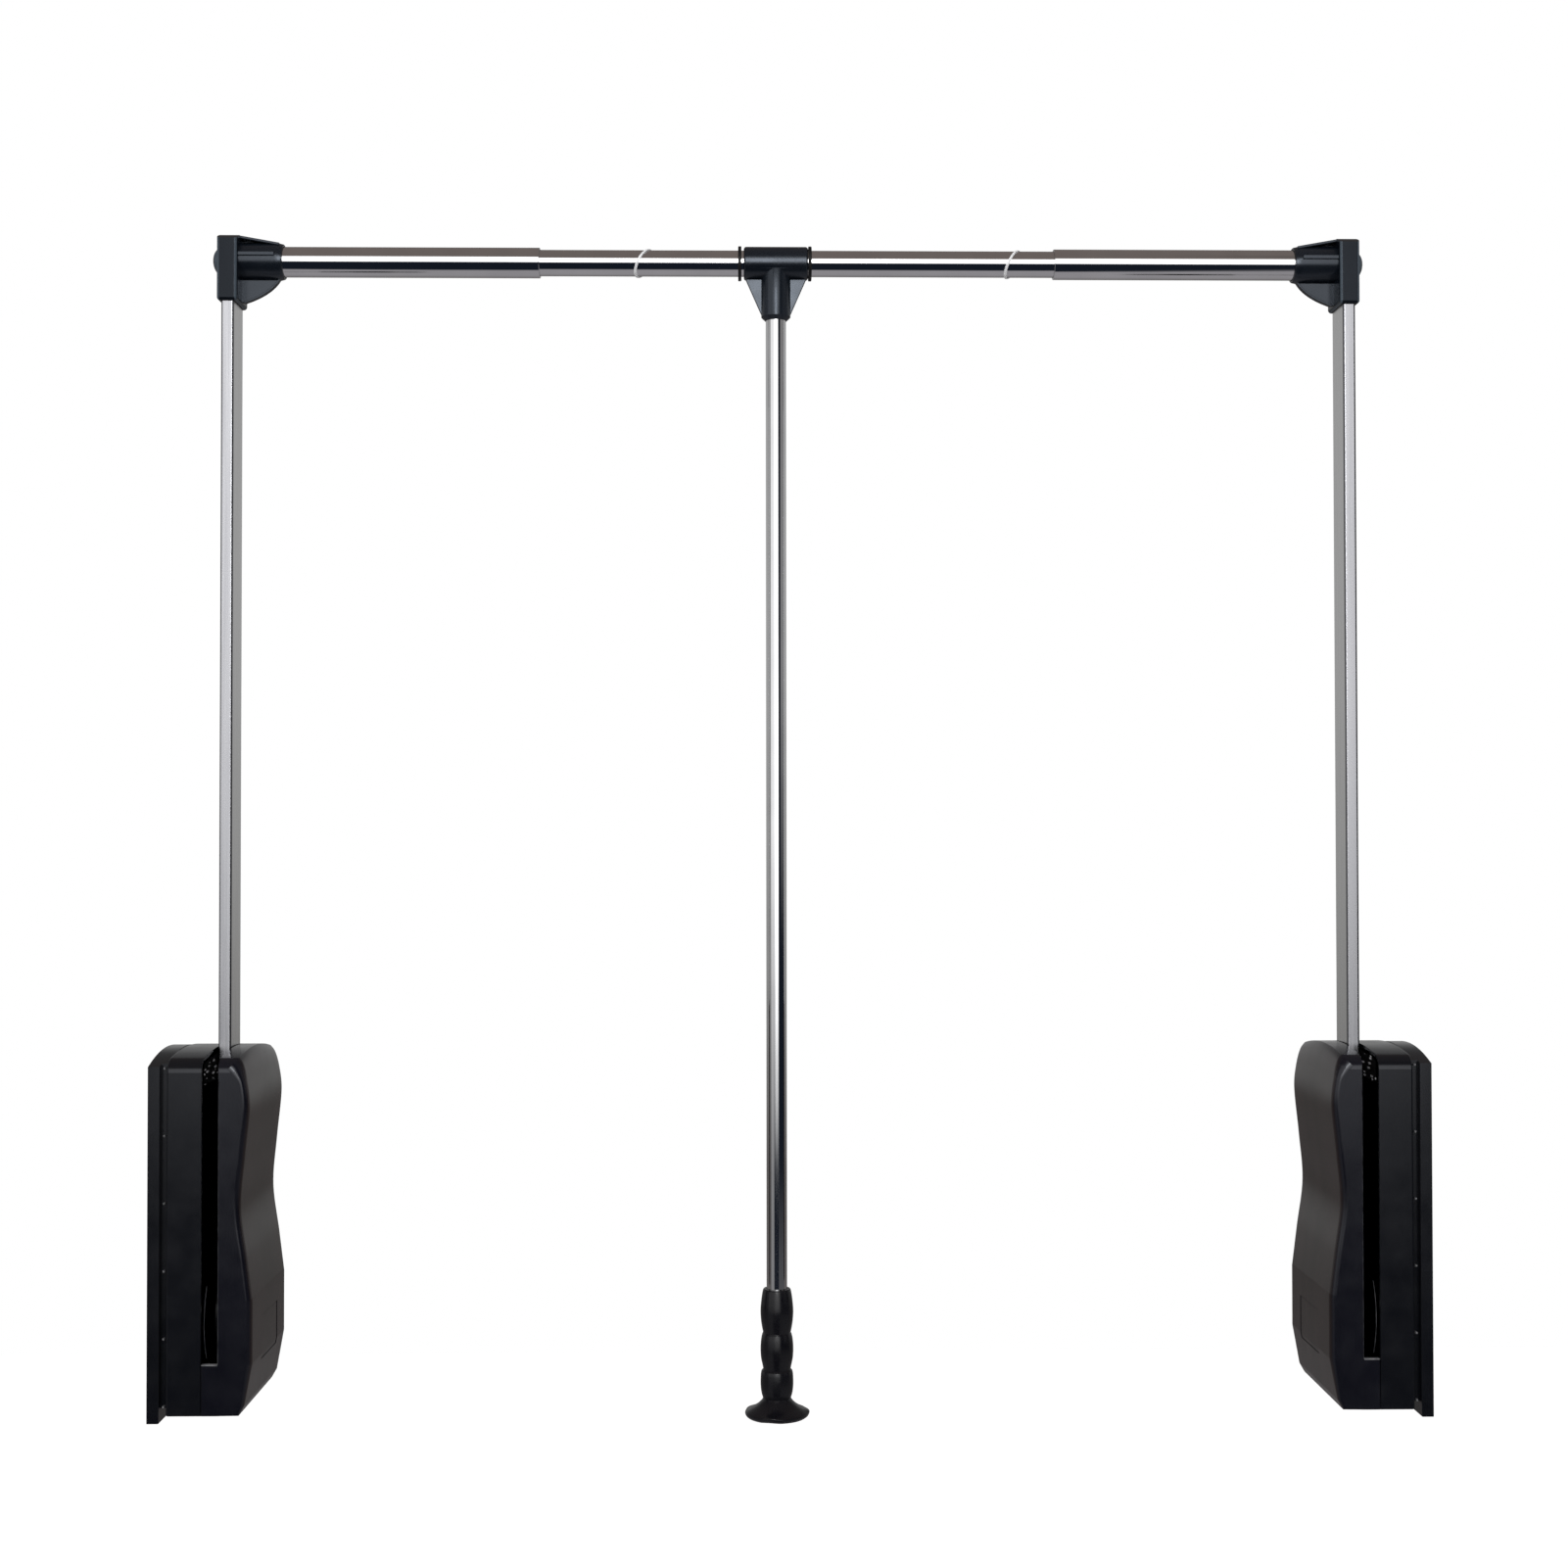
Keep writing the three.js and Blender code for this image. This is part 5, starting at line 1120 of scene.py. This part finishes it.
def pull_rod():
    low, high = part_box("pull_rod")
    centre = (low.x + high.x) / 2
    profile = tube_profile(high.y, high.y - TUBE_WALL, low.z, high.z, TUBE_RIM)
    piece(turned("rod", profile, "Z", (centre, 0)), "pull_rod", material=UPRIGHT_CHROME)


# Grip outline from the underside up, in spans between its sharp steps: (share of the length, radius)
GRIP_SPANS = [
    [(0.0, GRIP_BASE * 0.9), (0.01, GRIP_BASE * 0.955), (0.02, GRIP_BASE * 0.985),
     (0.03, GRIP_BASE * 0.998), (0.038, GRIP_BASE * 0.985), (0.045, GRIP_BASE * 0.94)],
    [(0.045, GRIP_BASE * 0.94), (0.058, GRIP_BASE * 0.84), (0.077, GRIP_BASE * 0.7),
     (0.1, GRIP_BASE * 0.575), (0.125, GRIP_BASE * 0.475), (0.146, GRIP_WAIST * 1.03)],
    [(0.146, GRIP_WAIST * 1.03), (0.195, GRIP_BULGE * 0.955), (0.26, GRIP_BULGE), (0.33, GRIP_BULGE * 0.98),
     (0.36, GRIP_BULGE * 0.94)],
    [(0.373, GRIP_WAIST * 1.01), (0.415, GRIP_BULGE * 0.9), (0.46, GRIP_BULGE * 0.97), (0.53, GRIP_BULGE),
     (0.6, GRIP_BULGE * 0.965), (0.645, GRIP_BULGE * 0.9)],
    [(0.66, GRIP_WAIST * 1.02), (0.695, GRIP_BULGE * 0.9), (0.75, GRIP_BULGE * 0.965), (0.83, GRIP_BULGE),
     (0.92, GRIP_BULGE * 0.94), (0.985, GRIP_WAIST * 1.04), (1.0, GRIP_WAIST * 0.97)],
]


def handle_grip():
    """Rubber grip with three swells and a flared foot whose lip is a little wavy."""
    low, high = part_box("handle_grip")
    centre = (low.x + high.x) / 2
    length = high.z - low.z
    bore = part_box("pull_rod")[1].y + FIT
    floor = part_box("pull_rod")[0].z - FIT
    outline = [(low.z, 0)]
    for span in GRIP_SPANS:
        outline += [(low.z + length * share, radius) for share, radius in spline(span, GRIP_STEPS)]
    outline += [(high.z, bore), (floor, bore), (floor, 0)]
    lip_start = GRIP_BASE * LIP_START_SHARE

    def wavy(along, radius, angle):
        if radius < lip_start or along > low.z + length * LIP_TOP_SHARE:
            return along, radius
        share = (radius - lip_start) / (GRIP_BASE - lip_start)
        swing = sum(sin(angle * count + phase) * part for count, phase, part in LIP_WAVES)
        return along + max(0.0, swing) * LIP_LIFT * share, radius - (1 - swing) * LIP_DRAW * share

    body = turned("grip", outline, "Z", (centre, 0), wave=wavy)
    piece(body, "handle_grip", sharp=38)


# Pieces
for prefix in ("left", "right"):
    wall_plate(prefix)
    outer_shell(prefix)
    inner_shell(prefix)
    slot_highlight_arc(prefix)
    channel_pad(prefix)
    rest_bumper(prefix)
    arm_foot(prefix)
    arm_tube(prefix)
    rail_bracket(prefix)
    bracket_bolt(prefix)
    rail_tube(f"{prefix}_outer_rail")
    stop_ring(f"{prefix}_stop_ring")
    tee_ring(f"{prefix}_tee_ring")
rail_tube("inner_rail")
tee_connector()
pull_rod()
handle_grip()

# Nodes that keep their CAD shape get only their finish
for node, slot in SLOT_OF.items():
    obj = frame["nodes"][node]
    if obj.hide_render:
        continue
    obj.data.materials.clear()
    obj.data.materials.append(MATERIALS[slot])

# Studio
CAMERA_PLACE = (421.49 * MM, -1595.04 * MM, 352.90 * MM)
CAMERA_PITCH = 0.01873
CAMERA_YAW = -0.01719
CAMERA_ROLL = 0.00113
CAMERA_FOCAL_PIXELS = 2215.42
PHOTO_PIXELS = 1601
SENSOR_WIDTH = 36
FLOOR_Z = -1.12
FLOOR_SIZE = 9.0
FLOOR_COLOUR = (0.6, 0.6, 0.6, 1)
FLOOR_ROUGHNESS = 0.9
FLOOR_GLOW = 0.85
LAMP_COLOUR = (0.96, 0.98, 1.0)
FRONT_WHITE = 1.15
STRIP_WHITE = 2.1
MIDDLE = (SPAN / 2, 0, 0.35)

# Lamps: name, place, width, height, power, seen in glossy surfaces
LAMPS = (
    ("key", (0.44, -3.2, 1.42), 0.6, 1.4, 17, True),
    ("top", (0.44, -0.6, 2.9), 2.2, 1.6, 18, False),
    ("left_fill", (-2.6, -1.2, 1.2), 1.6, 2.2, 36, False),
    ("right_fill", (3.5, -1.2, 1.2), 1.6, 2.2, 36, False),
)


def add_camera():
    data = bpy.data.cameras.new("camera")
    data.sensor_width = SENSOR_WIDTH
    data.lens = CAMERA_FOCAL_PIXELS / PHOTO_PIXELS * SENSOR_WIDTH
    data.dof.use_dof = False
    camera = bpy.data.objects.new("camera", data)
    bpy.context.scene.collection.objects.link(camera)
    turn = (Matrix.Rotation(CAMERA_YAW, 4, "Z") @ Matrix.Rotation(CAMERA_PITCH, 4, "X")
            @ Matrix.Rotation(CAMERA_ROLL, 4, "Y") @ Matrix.Rotation(pi / 2, 4, "X"))
    camera.matrix_world = Matrix.Translation(CAMERA_PLACE) @ turn
    bpy.context.scene.camera = camera


def add_lamp(name, place, width, height, power, glossy):
    """Rectangular lamp aimed at the middle and hidden from the camera."""
    data = bpy.data.lights.new(name, "AREA")
    data.shape = "RECTANGLE"
    data.size = width
    data.size_y = height
    data.energy = power
    data.color = LAMP_COLOUR
    lamp = bpy.data.objects.new(name, data)
    lamp.location = place
    lamp.rotation_euler = (Vector(MIDDLE) - Vector(place)).to_track_quat("-Z", "Y").to_euler()
    lamp.visible_camera = False
    lamp.visible_glossy = glossy
    bpy.context.scene.collection.objects.link(lamp)


def room_world():
    """White to the camera; to the object, a plain room: bright in front, dark beside, dim behind."""
    world = bpy.data.worlds.new("room")
    world.use_nodes = True
    bpy.context.scene.world = world
    tree = NodeTree(world.node_tree)
    direction = tree.parts("Generated")
    height = tree.math("MULTIPLY_ADD", direction["Z"], 0.5, 0.5)
    turn = tree.math("ARCTAN2", direction["X"], tree.math("MULTIPLY", direction["Y"], -1.0))
    round_share = tree.math("MULTIPLY_ADD", turn, 0.5 / pi, 0.5)

    def by_height(*stops):
        """Colours by degrees above the horizon."""
        return tree.ramp(height, *[((sin(radians(degrees)) + 1) / 2, colour) for degrees, colour in stops])

    def by_turn(*stops):
        """Greys by degrees round from the front, positive to the right."""
        return tree.ramp(round_share, *[(degrees / 360 + 0.5, grey) for degrees, grey in stops])

    ceiling = (0.165, 0.140, 0.130)
    carpet = (0.30, 0.29, 0.305)
    dark = (0.008, 0.011, 0.018)
    shade = (0.12, 0.112, 0.108)
    plain = (0.24, 0.24, 0.245)
    pale = 0.95
    ahead = by_height(
        (-74, carpet), (-64, dark), (-9, dark), (0, FRONT_WHITE), (27, FRONT_WHITE), (35, ceiling))
    off_centre = by_height(
        (-70, carpet), (-20, plain), (-9, plain), (0, pale), (27, pale), (35, ceiling))
    beside = by_height((-60, carpet), (-18, plain), (-9, dark), (20, dark), (45, 0.05), (65, ceiling))
    far_side = by_height((-60, carpet), (-18, plain), (-9, dark), (-3, dark), (4, plain), (65, ceiling))
    beside = tree.mix(by_turn((44, 0), (54, 1)), beside, far_side)
    behind = by_height(
        (-60, carpet), (-9, shade), (-4, (0.3, 0.3, 0.295)), (4, 0.4), (13, 0.4), (26, 0.12),
        (50, ceiling))
    bright = by_height((-9, STRIP_WHITE), (27, STRIP_WHITE))
    strip_heights = by_height((-9, 0), (0, 1), (27, 1), (35, 0))
    strip_turns = by_turn((-20, 0), (-10, 1), (16, 1), (22, 0))
    aside = by_turn((-70, 1), (-62, 0), (18, 0), (28, 1))
    away = by_turn((-34, 1), (-24, 0), (24, 0), (34, 1))
    back = by_turn((-74, 1), (-68, 0), (88, 0), (98, 1))
    front = tree.mix(away, ahead, off_centre)
    front = tree.mix(tree.math("MULTIPLY", strip_heights, strip_turns), front, bright)
    room = tree.nodes["Background"]
    tree.links.new(tree.mix(back, tree.mix(aside, front, beside), behind), room.inputs["Color"])
    seen = tree.nodes.new("ShaderNodeBackground")
    seen.inputs["Color"].default_value = (1, 1, 1, 1)
    chosen = tree.nodes.new("ShaderNodeMixShader")
    tree.feed(chosen.inputs, (tree.camera_ray(), room.outputs[0], seen.outputs[0]))
    tree.links.new(chosen.outputs[0], tree.nodes["World Output"].inputs["Surface"])


def add_floor():
    """Pale floor; to the camera it glows up to the white of the backdrop and keeps its shadow."""
    half = FLOOR_SIZE / 2
    floor = new_object("floor", [
        (-half, -half, FLOOR_Z), (half, -half, FLOOR_Z), (half, half, FLOOR_Z), (-half, half, FLOOR_Z),
    ], [(0, 1, 2, 3)])
    floor.location.x = SPAN / 2
    material = bpy.data.materials.new("floor_pale")
    material.use_nodes = True
    tree = NodeTree(material.node_tree)
    shader = tree.nodes["Principled BSDF"]
    shader.inputs["Base Color"].default_value = FLOOR_COLOUR
    shader.inputs["Roughness"].default_value = FLOOR_ROUGHNESS
    glow = tree.nodes.new("ShaderNodeEmission")
    tree.links.new(tree.math("MULTIPLY", tree.camera_ray(), FLOOR_GLOW), glow.inputs["Strength"])
    both = tree.nodes.new("ShaderNodeAddShader")
    tree.feed(both.inputs, (shader.outputs[0], glow.outputs[0]))
    tree.links.new(both.outputs[0], tree.nodes["Material Output"].inputs["Surface"])
    floor.data.materials.append(material)
    floor.visible_glossy = False


add_camera()
room_world()
add_floor()
for lamp in LAMPS:
    add_lamp(*lamp)
bpy.context.scene.view_settings.view_transform = "Standard"
